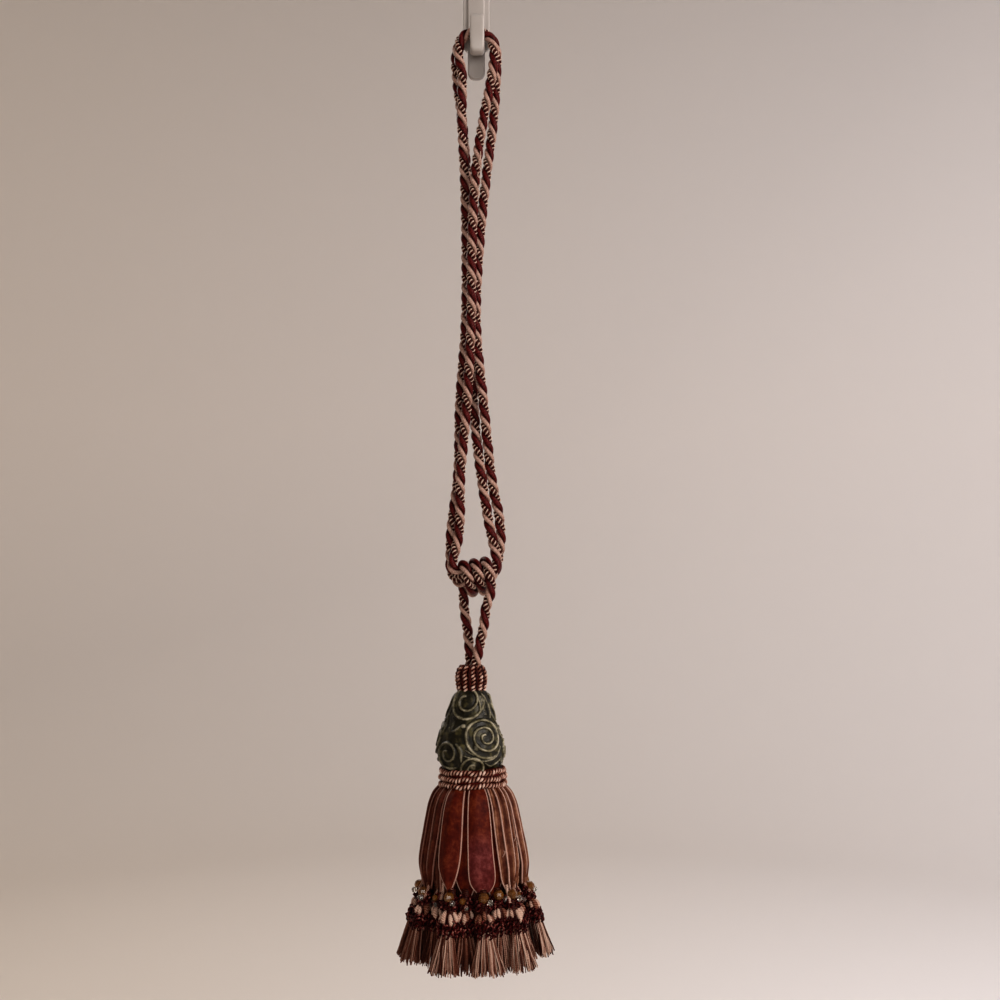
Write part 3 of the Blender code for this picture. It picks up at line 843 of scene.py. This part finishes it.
# %% Head finish
HEAD_CLOUD_MM, RUB_MM = 6, 1.4      # clouds in the olive ground, and the wipes of the gold
RUB_SHARE, GOLD_FROM, GOLD_TO = 1.3, 0.95, 1.7
SHADED_SIDE_X, LIT_SIDE_X = -24, 8      # mm: painted light, the gold is painted dimmer on one side

olive_resin, tree, shader = new_material("olive_resin_rubbed_with_gold", {
    "Roughness": 0.42, "IOR": 1.5, "Specular IOR Level": 0.3})
place = add_node(tree, "TexCoord", out="Object")
raised = add_node(tree, "Attribute", out="Fac", attribute_name="tone")
patch = add_node(tree, "TexNoise", {"Vector": place, "Scale": cells(HEAD_CLOUD_MM),
                                    "Detail": 4.0})
rub = add_node(tree, "TexNoise", {"Vector": place, "Scale": cells(RUB_MM), "Detail": 3.0})
ground = add_node(tree, "ValToRGB", {0: patch},
                  stops=((0.36, "070602"), (0.54, "1C190D"), (0.74, "575132")))
gold = add_node(tree, "ValToRGB", {0: patch},
                stops=((0.35, "5E583E"), (0.5, "928B74"), (0.65, "BBB4A0")))
rubbed = add_node(tree, "Math", {0: rub, 1: RUB_SHARE, 2: raised}, operation="MULTIPLY_ADD")
gilt = add_node(tree, "MapRange", {"Value": rubbed, "From Min": GOLD_FROM, "From Max": GOLD_TO})
across = add_node(tree, "SeparateXYZ", {0: place})
# painted light: the gold is painted dimmer toward the shaded side of the head
kept = add_node(tree, "MapRange", {"Value": across, "From Min": SHADED_SIDE_X * MM,
                                   "From Max": LIT_SIDE_X * MM, "To Min": 0.35})
gilt_in_side_light = add_node(tree, "Math", {0: gilt, 1: kept}, operation="MULTIPLY")
gilded = add_node(tree, "Mix", {0: gilt_in_side_light, 6: ground, 7: gold}, out=2, data_type="RGBA")
lumps = add_node(tree, "Bump", {"Height": patch, "Strength": 0.7, "Distance": 1.2 * MM})
pits = add_node(tree, "Bump", {"Height": rub, "Strength": 0.6, "Distance": 0.3 * MM,
                               "Normal": lumps})
set_inputs(shader, {"Base Color": gilded, "Normal": pits})
print("head finish:", olive_resin.name)

# %% Carved head
HEAD_STEP, HEAD_COLUMNS = 0.33, 400
BULGE_FROM, BULGE_OVER = 22, 16

head_rows = even_steps(smooth_curve(HEAD_ROWS), HEAD_STEP)
head_r, head_depth = head_rows[:, :1], head_rows[:, 1:]
head_angle = np.arange(HEAD_COLUMNS) * TAU / HEAD_COLUMNS
relief = head_relief(head_angle, head_depth, head_r)
bulge = HEAD_SHIFT * np.sin(head_angle) * np.clip((head_depth - BULGE_FROM) / BULGE_OVER, 0, 1)
surface = on_tassel(head_angle, head_r + bulge + RELIEF * relief, head_depth)
head = piece("carved_head", [grid(surface[:, ::-1], tone=relief[:, ::-1])], [olive_resin])
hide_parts("head")

# %% [markdown]
# ## Collar
#
# Three rows of the trimming cord go round the joint between the head and the skirt.
# A Curve modifier could bend a straight cord round, with its twist fitted by trial.
# Here the lay is the way round over a whole number of turns, so each ring's two ends
# nearly match where they meet, at the back. Two sines of the way round let it sag a
# little, as a cord wound by hand does.

# %% Collar rows
COLLAR_ROWS = ((22.2, 75.4, 27), (23.0, 79.9, 29), (22.9, 84.5, 28))   # radius, depth, turns
COLLAR_CORE = ((19.5, 73.0), (22.0, 74.5), (22.6, 79.0), (22.4, 84.0), (19.0, 86.0))
COLLAR_STAND_OFF = 1.4
RING_STEP = 0.55

collar_parts = [grid(turned(COLLAR_CORE, columns=60)[:, ::-1], finish=0)]
for radius, depth, turns in COLLAR_ROWS:
    ring_angle = math.pi + np.linspace(0, TAU, int(TAU * radius / RING_STEP))
    sag = 0.45 * np.sin(5 * ring_angle + depth) + 0.35 * np.sin(13 * ring_angle + 2 * depth)
    collar_parts += trimming_cord(on_tassel(ring_angle, radius, depth + sag), -down_axis, TRIM_R,
                                  COLLAR_STAND_OFF, TAU * radius / turns,
                                  around(ring_angle)[0], start=depth)
collar = piece("collar_cords", collar_parts, [trim_dark, trim_light])
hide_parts("collar")

# %% [markdown]
# ## Ribbon skirt
#
# Twenty velvet ribbons hang from under the collar in two layers. Each is gathered at
# the top, bellies out, and is gathered again where a small tassel hangs from it. Its
# two long edges are bound with a pale thread. A cloth simulation could hang them, but
# the gathers are sewn and the folds are few, so a formula for the face comes closer
# and is the same on each run. Velvet is a pile of upright fibres, so it looks dark
# from straight on and light toward its edges, which the sheen gives. The
# fibres lie this way and that, which two noises give: one for single tufts, drawn three
# times as coarse as real ones so that they show, and one for patches the size of a
# fingertip. The crests of the folds carry a painted highlight, and one side of the
# tassel is painted lighter, as painted light from that side.

# %% Velvet
TUFT_MM, PATCH_MM = 2.4, 9
SHEEN_TINT = "96503A"


def velvet_finish(name, low, high):
    """Velvet in two ranges of colour, mixed by the tone attribute; tuft + patch picks in each."""
    made, tree, shader = new_material(name, {
        "Roughness": 0.6, "Specular IOR Level": 0.1, "Sheen Weight": 0.3,
        "Sheen Roughness": 0.35, "Sheen Tint": linear(SHEEN_TINT)})
    place = add_node(tree, "TexCoord", out="Object")
    tuft = add_node(tree, "TexNoise", {"Vector": place, "Scale": cells(TUFT_MM), "Detail": 5.0,
                                       "Roughness": 0.6})
    patch = add_node(tree, "TexNoise", {"Vector": place, "Scale": cells(PATCH_MM), "Detail": 2.0})
    nap = add_node(tree, "Math", {0: tuft, 1: patch}, operation="ADD")
    lie = add_node(tree, "MapRange", {"Value": nap, "From Min": 0.72, "From Max": 1.3})
    share = add_node(tree, "Attribute", out="Fac", attribute_name="tone")
    colour = add_node(tree, "Mix", {0: share, 6: add_node(tree, "ValToRGB", {0: lie}, stops=low),
                                    7: add_node(tree, "ValToRGB", {0: lie}, stops=high)},
                      out=2, data_type="RGBA")
    pile = add_node(tree, "Bump", {"Height": tuft, "Strength": 0.5, "Distance": 0.3 * MM})
    set_inputs(shader, {"Base Color": colour, "Normal": pile})
    return made


smooth_velvet = velvet_finish("burgundy_velvet_pile",
                              ((0.0, "3C0B05"), (0.5, "50170A"), (1.0, "6A2E18")),
                              ((0.0, "3E100E"), (0.5, "562020"), (1.0, "743A38")))
# painted highlight: the light range paints the crests of the folds pale, with painted light on one
# side
folded_velvet = velvet_finish("burgundy_velvet_with_painted_fold_highlights",
                              ((0.0, "2A0803"), (0.5, "3C1007"), (1.0, "542010")),
                              ((0.0, "5A3020"), (0.5, "80543E"), (1.0, "A27A62")))
edge_thread = thread_finish("pale_edge_thread", ("4A2018", "8E6458", "C8A89C"), 0.55,
                            filaments=4, turn_per_mm=0.35, by_tone=True, groove_shade=0.25)
print("ribbon finishes:", smooth_velvet.name, folded_velvet.name, edge_thread.name)

# %% One ribbon
RIBBON_T = 0.9
SMOOTH_WAVES, FOLDED_WAVES = (1.6, 0.5), (3.8, 1.6)      # half waves across, their height
FOLDED_WIDTH = 1.16                # the folded ones are this much wider, over their folds
FOLD_EDGES = (9, 21)               # columns where a pale edge shows between folds
EDGE_R = 0.66
RIBBON_ROWS = (
    # depth, crown radius, half width, gather
    (86.2, 23.4, 5.6, 0.9), (90.0, 27.0, 6.7, 0.8), (97.0, 30.6, 7.6, 0.6),
    (107.5, 33.3, 8.3, 0.5), (119.0, 35.6, 8.7, 0.5), (130.0, 37.8, 8.9, 0.5),
    (140.0, 38.9, 8.4, 0.6), (148.0, 37.9, 6.4, 0.8), (154.0, 36.6, 2.9, 1.0),
)


def ribbon_parts(centre, step_in, longer, phase, smooth):
    """A thin body whose face dips to its edges and ripples, and the threads along its edges.

    The face is crown - 1.5 share^2 + a cosine wave across, share being -1 and 1 at the
    edges. The tone of a smooth ribbon is its rosy share; that of a folded one is a painted
    highlight on the crest of its folds, painted lighter on one side of the tassel as
    painted light from that side.
    """
    rows = smooth_curve(RIBBON_ROWS, pieces=5)
    depth, crown, half, gather = (rows[:, k:k + 1] for k in range(4))
    tip = np.clip((depth - 120) / 34, 0, 1)
    narrowing, shift, rosy = smooth or (0.0, 0.0, 0.0)
    half = half * (1 - narrowing * tip**3) * (1.0 if smooth else FOLDED_WIDTH)
    # painted light: the folded ribbons are painted lighter on one side of the tassel
    painted_side_light = 0.55 + 0.45 * math.sin(centre + 0.2)
    radius = crown - step_in
    share = np.linspace(-1, 1, 33)
    waves, swell = SMOOTH_WAVES if smooth else FOLDED_WAVES
    fold = np.cos(share * waves * math.pi + phase + depth * 0.02)
    face = radius - 1.5 * share**2 + swell * gather * fold * (1 - 0.5 * share**2)
    angle = centre + (share * half + shift * tip**2) / radius
    depth = depth + longer * tip**2
    front = on_tassel(angle, face, depth)
    back = on_tassel(angle, face - RIBBON_T, depth)
    if smooth:
        tone = rosy * np.clip((depth - 112) / 14, 0, 1) + np.zeros(33)
    else:
        # painted highlight: the crests of the folds are painted pale
        streak = 0.75 + 0.25 * np.sin(depth * 0.31 + 4 * share + phase)
        tone = painted_side_light * streak * (0.25 + 0.75 * np.clip(fold, 0, 1) ** 0.8)
    cloth = grid(np.concatenate([front, back[:, ::-1]], axis=1)[:, ::-1],
                 tone=np.concatenate([tone, tone[:, ::-1]], axis=1)[:, ::-1])
    edges = []
    for side in (0, -1) if smooth else (0, *FOLD_EDGES, -1):
        sink = RIBBON_T / 2 if side in (0, -1) else 0.0
        line = on_tassel(angle[:, side], face[:, side] - sink, depth[:, 0])
        # painted light: the edge threads of folded ribbons are painted lighter on the same side
        edges.append(grid(tube(line, around(centre)[0], EDGE_R, sides=7),
                          tone=0.75 if smooth else 0.35 + 0.5 * painted_side_light))
    return cloth, edges


cloth = ribbon_parts(0.0, 0.0, 0.0, 0.0, None)[0]
print("points on one ribbon:", cloth["points"][..., 0].size)

# %% Two layers of ribbons
RIBBON_PAIRS = 10
PAIR_DEG = 360 / RIBBON_PAIRS
OUTER_START_DEG = 9.0
RIBBON_STEP_IN = 4.4
SMOOTH_RIBBONS = {
    # the ones that lie smooth at the front: how much the tip narrows, its shift sideways in
    # mm, and how rosy its lower half is
    "outer_10": (0.6, -0.8, 0.1), "outer_01": (-0.65, 1.8, 1.0), "inner_10": (0.1, 0.8, 0.0),
    "inner_01": (0.2, 0.0, 0.0),
}
LAYERS = (
    # layer, step in, half a step round, lengthening toward the tip in mm, turn of the folds
    ("outer", 0.0, 0, 0.0, 1.9), ("inner", RIBBON_STEP_IN, PAIR_DEG / 2, 3.4, 2.3),
)

for pair in range(RIBBON_PAIRS):
    for layer, step_in, half_step, longer, fold_turn in LAYERS:
        number = f"{layer}_{pair + 1:02d}"
        centre = math.radians(OUTER_START_DEG + PAIR_DEG * pair + half_step)
        smooth = SMOOTH_RIBBONS.get(number)
        cloth, edges = ribbon_parts(centre, step_in, longer, pair * fold_turn, smooth)
        ribbon = piece(f"ribbon_{number}_velvet", [cloth],
                       [smooth_velvet if smooth else folded_velvet])
        binding = piece(f"ribbon_{number}_edges", edges, [edge_thread])
        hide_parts(f"ribbon_{number}")

# %% [markdown]
# Handling has pulled a few threads out of the ribbons' edges on one side. Hair could
# scatter many of them, but four are enough, so each has its place listed. It is a
# short curl that leaves the surface and comes back to it: its reach goes as a sine of
# the way along, over the belly's own radius.

# %% Frayed threads
FRAYS = np.array((
    # degrees from the front and depth at the root, reach, curl and length in mm
    (33.0, 131.0, 1.8, 1.0, 4.0), (34.5, 129.5, 2.4, -0.7, 3.0), (52.0, 122.0, 1.6, 0.7, 4.5),
    (54.5, 126.0, 2.2, -0.8, 3.0),
))
BELLY_DEPTHS, BELLY_RADII = (90, 107, 140), (28, 34, 39.2)
FRAY_R = 0.27

fray_angle, fray_depth, fray_reach, fray_curl, fray_length = FRAYS.T[..., None]
along = np.linspace(0, 1, 10)
fray_line = on_tassel(np.radians(fray_angle) + fray_curl * along**2 / 25,
                      np.interp(fray_depth, BELLY_DEPTHS, BELLY_RADII)
                      + fray_reach * np.sin(along * 2.2), fray_depth - fray_length * along)
frays = piece("frayed_threads",
              [grid(tube(fray_line, (0.3, -0.9, 0.3), FRAY_R, sides=5), tone=0.8)], [edge_thread])

# %% [markdown]
# ## Beads and small tassels
#
# A bead and a small tassel hang from the gathered end of each ribbon. A small tassel
# is a bunch of cut threads folded over a tie, so it has a few plump folds on top, a
# knotted binding and a skirt of loose ends. Hair could fill the skirt, but it is lost
# in an export, and a thread of four sides costs little. The threads run from pink-tan
# to maroon, so each one carries its own tone, and one finish reads it. The beads are
# cut glass: flat facets that catch the lamps one at a time, clear ones and brown-gold
# ones.

# %% Bead glass and fringe thread
SWIRL_MM = 4

crystal = new_material("clear_cut_glass", {
    "Roughness": 0.03, "IOR": 1.52, "Transmission Weight": 0.95, "Base Color": linear("FBF8F0")})[0]
amber, tree, shader = new_material("brown_gold_glass", {"Roughness": 0.08, "IOR": 1.52,
                                                        "Transmission Weight": 0.6})
place = add_node(tree, "TexCoord", out="Object")
swirl = add_node(tree, "TexNoise", {"Vector": place, "Scale": cells(SWIRL_MM), "Detail": 3.0})
honey = add_node(tree, "Mix", {0: swirl, 6: linear("3E1606"), 7: linear("BC7E3E")}, out=2,
                 data_type="RGBA")
set_inputs(shader, {"Base Color": honey})
fringe_thread = thread_finish("cut_fringe_thread", ("260403", "70402F", "C6A798"), 0.5,
                              filaments=3, turn_per_mm=0.25, by_tone=True, groove_shade=0.0)
loop_thread = thread_finish("maroon_looped_thread", ("1C0002", "520C0E", "B88478"), 0.5,
                            filaments=3, turn_per_mm=0.25, by_tone=True, groove_shade=0.2)
tassel_finishes = [fringe_thread, trim_dark, trim_light, crystal, amber, loop_thread]
print("small tassels' finishes:", [finish.name for finish in tassel_finishes])

# %% [markdown]
# Inside them hangs a plain inner skirt of maroon threads, which fills the middle, so
# that no one can look up into the tassel between the small ones. A smooth cone would
# fill it too, but would show as one, so these are threads of uneven length.

# %% Inner skirt
INNER_THREADS = 150
INNER_R, INNER_WAVE = 27.5, 1.5
INNER_DEPTHS = (120, 193)
INNER_THREAD_R = 0.95

chance = np.random.default_rng(7)
inner_angle = (np.arange(INNER_THREADS) * TAU / INNER_THREADS)[:, None]
inner_depth = np.linspace(*INNER_DEPTHS, 8) + np.zeros((INNER_THREADS, 1))
inner_depth[:, -1] += chance.uniform(-4, 4, INNER_THREADS)
inner_line = on_tassel(inner_angle, INNER_R + INNER_WAVE * np.sin(inner_angle * 37), inner_depth)
inner_skirt = piece("inner_skirt", [
    grid(tube(inner_line, around(inner_angle)[1], INNER_THREAD_R, sides=5),
         tone=chance.uniform(0, 0.2, (INNER_THREADS, 1, 1)))], [fringe_thread])

# %% [markdown]
# A small tassel has coordinates of its own: the depth below the big tassel's top, and
# two distances from its own middle line, to the side and outward. It hangs along a line
# that leans out with depth, which a table of reaches gives. Twenty copies of one mesh
# would all match, so each is made anew, with random numbers from one seed. Every piece
# of it is made from arrays of the three numbers, and one function gives their places.

# %% Places in a small tassel
HANGER_SHIFT_DEG = (2, 3, -2, -2, 1, 0, -2, 2, 1, -1, 2, 0, -1, 1, 2, -2, 0, 1, 3, 0)
HANGER_DROP = (0.4, 0.8, 0.2, -1.6, -2.4, -2.8, -1.2, -2.0, 0.4, -0.8,
               -1.4, 0.2, -0.6, -1.8, -1.2, -2.2, -2.6, -1.8, 0.0, 0.8)
HANGER_ROWS = np.array((
    # depth, outer reach, inner reach, half width, half thickness
    (154.5, 35.5, 31.6, 1.5, 1.5), (158.5, 37.6, 33.2, 2.0, 1.9), (162.0, 39.2, 34.4, 4.2, 3.6),
    (166.0, 40.4, 35.2, 4.7, 4.2), (169.5, 41.2, 35.7, 4.6, 4.2), (172.5, 41.9, 36.1, 5.2, 4.6),
    (176.0, 42.8, 36.5, 5.2, 4.4), (179.0, 43.7, 36.8, 5.1, 4.2), (188.0, 46.2, 37.8, 7.2, 4.2),
    (197.0, 48.4, 39.3, 8.8, 4.2), (205.0, 50.3, 41.0, 9.8, 4.2),
))
KNOT_ROWS = (
    # depth, half width, half thickness, lay of the knotted strand, its stand-off
    (157.8, 3.4, 1.8, 3.1, 1.3), (160.6, 4.4, 2.4, 3.3, 1.5), (163.6, 4.6, 2.6, 3.2, 1.5),
    (172.2, 5.0, 3.8, 2.9, 1.4), (174.9, 5.9, 4.3, 3.3, 1.6), (177.7, 6.2, 4.4, 3.0, 1.6),
    (180.6, 5.6, 4.0, 3.2, 1.4),
)


def hanger_place(centre, column, drop, depth, side, out):
    """A place in a small tassel, side and out in mm from its own middle line."""
    rows = HANGER_ROWS
    reach = np.interp(depth, rows[:, 0], rows[:, column])
    outward, sideways = around(centre)
    sunk = depth + drop * (depth - rows[0, 0]) / (rows[-1, 0] - rows[0, 0])
    return (TASSEL_TOP + (reach + out)[..., None] * outward + sunk[..., None] * down_axis
            + np.asarray(side)[..., None] * sideways)


stem_end = hanger_place(0.0, 1, 0.0, np.array(205.0), 0.0, 0.0)
print("a small tassel at the front ends at", stem_end.round(1).tolist())


# %% Loops, core and folds
LOOP_DEPTHS, LOOP_SIDE, LOOP_R = (149.5, 161.0), 2.9, 1.15
CORE_DEPTHS, CORE_WIDTH, CORE_LEAST = (152.0, 199.0), 0.78, 3.4
FOLDS, FOLD_TOP, FOLD_LENGTH = 7, 165.6, 7.6


def upright_loops(place, tangent):
    """A wavy loop on either side of the stem, where the looped edge stands up."""
    depth = np.linspace(*LOOP_DEPTHS, 12) + chance.uniform(-2.0, 1.0, (2, 1))
    side = np.array([[-LOOP_SIDE], [LOOP_SIDE]]) * (1 + 0.25 * np.sin(depth * 0.4))
    line = place(depth, side, 1.6 + 0.5 * np.cos(depth * 0.35))
    return grid(tube(line, tangent, LOOP_R, sides=7), tone=chance.uniform(0.6, 1.0, (2, 1, 1)))


def dark_core(place):
    """An oval body inside, 0.78 of the small tassel's own width and thickness."""
    depth = np.linspace(*CORE_DEPTHS, 14)[:, None]
    angle = np.arange(12) * TAU / 12
    half, thick = (np.interp(depth, HANGER_ROWS[:, 0], HANGER_ROWS[:, k]) for k in (3, 4))
    return grid(place(depth * np.ones(12),
                      CORE_WIDTH * np.maximum(half, CORE_LEAST) * np.sin(angle),
                      CORE_WIDTH * np.maximum(thick, CORE_LEAST) * np.cos(angle))[:, ::-1])


def soft_folds(place, tangent):
    """Plump folds in a ring, each bowed out and swollen by a sine of the way down it."""
    way = np.linspace(0, 1, 8)
    angle = (np.arange(FOLDS) + chance.uniform(0, 1))[:, None] * TAU / FOLDS
    angle = angle + chance.uniform(-0.3, 0.3, (FOLDS, 1)) + 0.25 * way
    size = chance.uniform(0.85, 1.22, (FOLDS, 1))
    reach = size * (0.5 + 3.5 * np.sin(way * math.pi * 0.72 + 0.2))
    depth = FOLD_TOP + chance.uniform(-1.7, 1.3, (FOLDS, 1)) + FOLD_LENGTH * way * size
    line = place(depth, 1.15 * reach * np.sin(angle), reach * np.cos(angle))
    return grid(tube(line, tangent, size * (0.45 + 1.05 * np.sin(way * math.pi)), sides=8),
                tone=chance.choice([0.45, 0.8, 0.9, 1.0], (FOLDS, 1, 1)))


print("folds on each small tassel:", FOLDS)


# %% Knotted rows and cut threads
KNOT_STRAND_R = 0.66
SKIRT_THREADS, THREAD_R = 145, 0.41
SKIRT_TOP, SKIRT_LENGTH = 178.0, 27.0
SHADES, SHADE_CHANCES = (0.1, 0.5, 0.95), (0.28, 0.27, 0.45)
INNER_SHADOW = 0.65            # little light reaches the inner tassels' threads


def knotted_row(place, row_depth, half, thick, lay, size):
    """A strand wound round an uneven oval ring, maroon with pale specks."""
    angle = np.linspace(0, TAU, 76)
    wobble = chance.uniform(0, TAU)
    uneven = 1 + 0.10 * np.sin(6 * angle + wobble)
    ring = place(row_depth + 0.6 * np.sin(5 * angle + wobble),
                 half * uneven * np.sin(angle), thick * uneven * np.cos(angle))
    knots, away = wind(ring, down_axis, size, lay, wobble)
    speck = np.clip(np.sin(13 * angle[:, None] + wobble), 0, 1) ** 3
    return grid(tube(knots, away, KNOT_STRAND_R, sides=5), finish=5, tone=0.12 + 0.7 * speck)


def cut_threads(place, centre, column, tangent):
    """Threads that spread as they fall, each with its own spot, length, curl and shade.

    The square root of a random share spreads the spots evenly over the oval. One side of
    the tassel is painted lighter, as painted light from that side, as on its ribbons.
    """
    size = (SKIRT_THREADS, 1)
    spot = chance.uniform(0, TAU, size)
    share = np.sqrt(chance.uniform(0.4, 1.0, size))
    fall = np.linspace(0, 1, 8)
    depth = SKIRT_TOP + SKIRT_LENGTH * fall * chance.uniform(0.88, 1.04, size)
    half, thick = 4.2 + 7.0 * fall**0.85, 3.6 + 2.0 * fall
    curl = 0.5 * fall * np.sin(fall * chance.uniform(2, 9, size) + chance.uniform(0, TAU, size))
    stray = chance.normal(0, 0.7, (2, *size)) * fall**2
    line = place(depth, share * half * np.sin(spot) + stray[0] + curl,
                 share * thick * np.cos(spot) + stray[1] + 0.6 * curl)
    shade = chance.choice(SHADES, SKIRT_THREADS, p=SHADE_CHANCES)
    # painted highlight: each thread is painted a little lighter toward its top
    shade = (shade + chance.normal(0, 0.1, SKIRT_THREADS))[:, None] * (1.0 - 0.15 * fall)
    shadow = INNER_SHADOW if column == 2 else 1.0
    # painted light: the threads on one side of the tassel are painted lighter
    thread_side_light = 0.93 + 0.32 * math.sin(centre + 0.1)
    tone = (shade * shadow * thread_side_light)[..., None]
    return grid(tube(line, tangent, THREAD_R, sides=4), tone=tone)


print("cut threads in each small tassel:", SKIRT_THREADS)


# %% A whole small tassel
STEM_DEPTHS = (151.0, 163.0)
STEM_R, STEM_STAND_OFF, STEM_LAY = 0.6, 0.9, 3.4
LOOPS_FROM = 0.55              # loops show where the sine of the angle is past this


def faceted_ball(centre, radius, across, axis, finish):
    """A cut glass bead: a ball of flat facets, by latitude and longitude about an axis."""
    lat = np.linspace(-math.pi / 2, math.pi / 2, 7)[1:-1, None, None]
    lon = np.arange(8)[:, None] * TAU / 8
    ring = np.cos(lon) * across + np.sin(lon) * np.cross(axis, across)
    return grid(centre + radius * (np.cos(lat) * ring + np.sin(lat) * axis), finish, flat=True)


def small_tassel(centre, column, drop):
    """Stem, loops, dark core, folds, knotted rows and cut threads of one small tassel.

    The loops are made even where none show, so that the random draws stay in step.
    """
    def place(depth, side, out):
        """A place in this small tassel."""
        return hanger_place(centre, column, drop, depth, side, out)

    outward, sideways = around(centre)
    tangent = np.cross(down_axis, outward)
    stem = place(np.linspace(*STEM_DEPTHS, 17), np.zeros(17), np.zeros(17))
    parts = trimming_cord(stem, sideways, STEM_R, STEM_STAND_OFF, STEM_LAY, outward,
                          finishes=(1, 2))
    loops = upright_loops(place, tangent)
    if abs(math.sin(centre)) > LOOPS_FROM:
        parts.append(loops)
    return [*parts, dark_core(place), soft_folds(place, tangent),
            *(knotted_row(place, *row) for row in KNOT_ROWS),
            cut_threads(place, centre, column, tangent)]


ball = faceted_ball(np.zeros(3), 1.0, np.array(RIGHT), -down_axis, 0)
print("facets on a bead:", len(grid_faces(ball, 0)[0]))

# %% Hanging them
BEADS = {
    # depth, side, out, radius and finish of the beads over an outer or an inner tassel
    "outer": ((156.8, -0.3, 3.0, 3.8, 4), (159.6, 3.8, 4.6, 2.1, 3)),
    "inner": ((163.2, 1.4, 4.6, 1.8, 3), (159.6, -1.8, 2.6, 2.4, 4)),
}
LARGE_BEADS_TOO = 1            # this inner one, next to the front, has an outer one's beads
for number in range(2 * RIBBON_PAIRS):
    pair, inner = divmod(number, 2)
    layer = "inner" if inner else "outer"
    centre = math.radians(OUTER_START_DEG + PAIR_DEG / 2 * number + HANGER_SHIFT_DEG[number])
    drop = HANGER_DROP[number]
    parts = small_tassel(centre, 1 + inner, drop)
    sideways = around(centre)[1]
    for depth, side, out, radius, finish in BEADS["outer" if number == LARGE_BEADS_TOO else layer]:
        hang = hanger_place(centre, 1 + inner, drop, depth, side, out)
        parts.append(faceted_ball(hang, radius, sideways, -down_axis, finish))
    tassel = piece(f"small_tassel_{layer}_{pair + 1:02d}", parts, tassel_finishes)
    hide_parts(f"hanger_{layer}_{pair + 1:02d}")

# %% [markdown]
# ## Stage and light
#
# A flat backdrop would end in view as soon as the camera moved round. So a pale floor
# curves up into a pale wall that goes all the way round, far off, like the inside of a
# bowl, and there is no corner to see from any side. A soft lamp stands to the
# right of the camera, a weaker one near it, two wash the wall, and one stands behind.


# %% Floor that curves up into a round wall
FLOOR_Z, WALL_R, WALL_TOP, CURVE_R, MIDDLE_R = -1.3, 3.6, 2.6, 1.2, 0.4      # metres
STAGE_SIDES = 96

stage_paint = new_material("pale_stage_paint", {"Roughness": 0.9,
                                                "Base Color": linear("D9CFC3")})[0]
turn = np.linspace(0, math.pi / 2, 17)
reach = np.concatenate([[MIDDLE_R], WALL_R - CURVE_R + CURVE_R * np.sin(turn), [WALL_R]])[:, None]
height = np.concatenate([[FLOOR_Z], FLOOR_Z + CURVE_R * (1 - np.cos(turn)), [WALL_TOP]])[:, None]
angle = np.arange(STAGE_SIDES) * TAU / STAGE_SIDES
stage_points = np.stack(np.broadcast_arrays(reach * np.cos(angle), reach * np.sin(angle), height),
                        axis=-1)
number = np.arange(reach.size * STAGE_SIDES).reshape(-1, STAGE_SIDES)
beside = np.roll(number, -1, axis=1)
quads = np.stack([number[:-1], number[1:], beside[1:], beside[:-1]], axis=-1).reshape(-1, 4)
stage_mesh = bpy.data.meshes.new("cove")
stage_mesh.from_pydata(stage_points.reshape(-1, 3), [], quads.tolist() + [number[0].tolist()])
stage_mesh.shade_smooth()
stage_mesh.materials.append(stage_paint)
cove = bpy.data.objects.new("cove", stage_mesh)
bpy.context.scene.collection.objects.link(cove)
print("stage faces", len(stage_mesh.polygons))


# %% Lamps
def soft_lamp(name, place, target, size, watts, colour):
    """A square area lamp turned to face a target: tipped up from straight down, then round."""
    data = bpy.data.lights.new(name, "AREA")
    data.size, data.energy, data.color = size, watts, linear(colour)[:3]
    made = bpy.data.objects.new(name, data)
    made.location = place
    direction = np.array(target, dtype=float) - np.array(place, dtype=float)
    flat = math.hypot(direction[0], direction[1])
    made.rotation_euler = (math.atan2(flat, -direction[2]), 0,
                           math.atan2(direction[1], direction[0]) - math.pi / 2)
    bpy.context.scene.collection.objects.link(made)
    print(name, "lamp", watts, "W")


AIM = (0, -0.03, -0.35)
soft_lamp("key", (1.35, -1.1, 0.5), AIM, 0.9, 27, "FFF6EE")
soft_lamp("fill", (0.1, -2.3, -0.3), AIM, 1.1, 13, "FFFAF4")
soft_lamp("wall_right", (1.2, 0.0, 0.4), (2.1, 3.0, -0.5), 1.2, 54, "DCE6FF")
soft_lamp("wall_left", (-2.2, 0.6, 0.6), (-1.0, WALL_R, -0.2), 1.5, 4, "FFF4E4")
soft_lamp("back", (-1.2, 1.5, 1.0), AIM, 1.2, 17, "FFF6EE")
world = bpy.data.worlds.new("studio")
world.use_nodes = True
set_inputs(world.node_tree.nodes["Background"], {"Color": linear("E6E0DA"), "Strength": 0.14})
bpy.context.scene.world = world
bpy.context.scene.view_settings.view_transform = "Standard"
bpy.context.scene.view_settings.look = "Medium High Contrast"
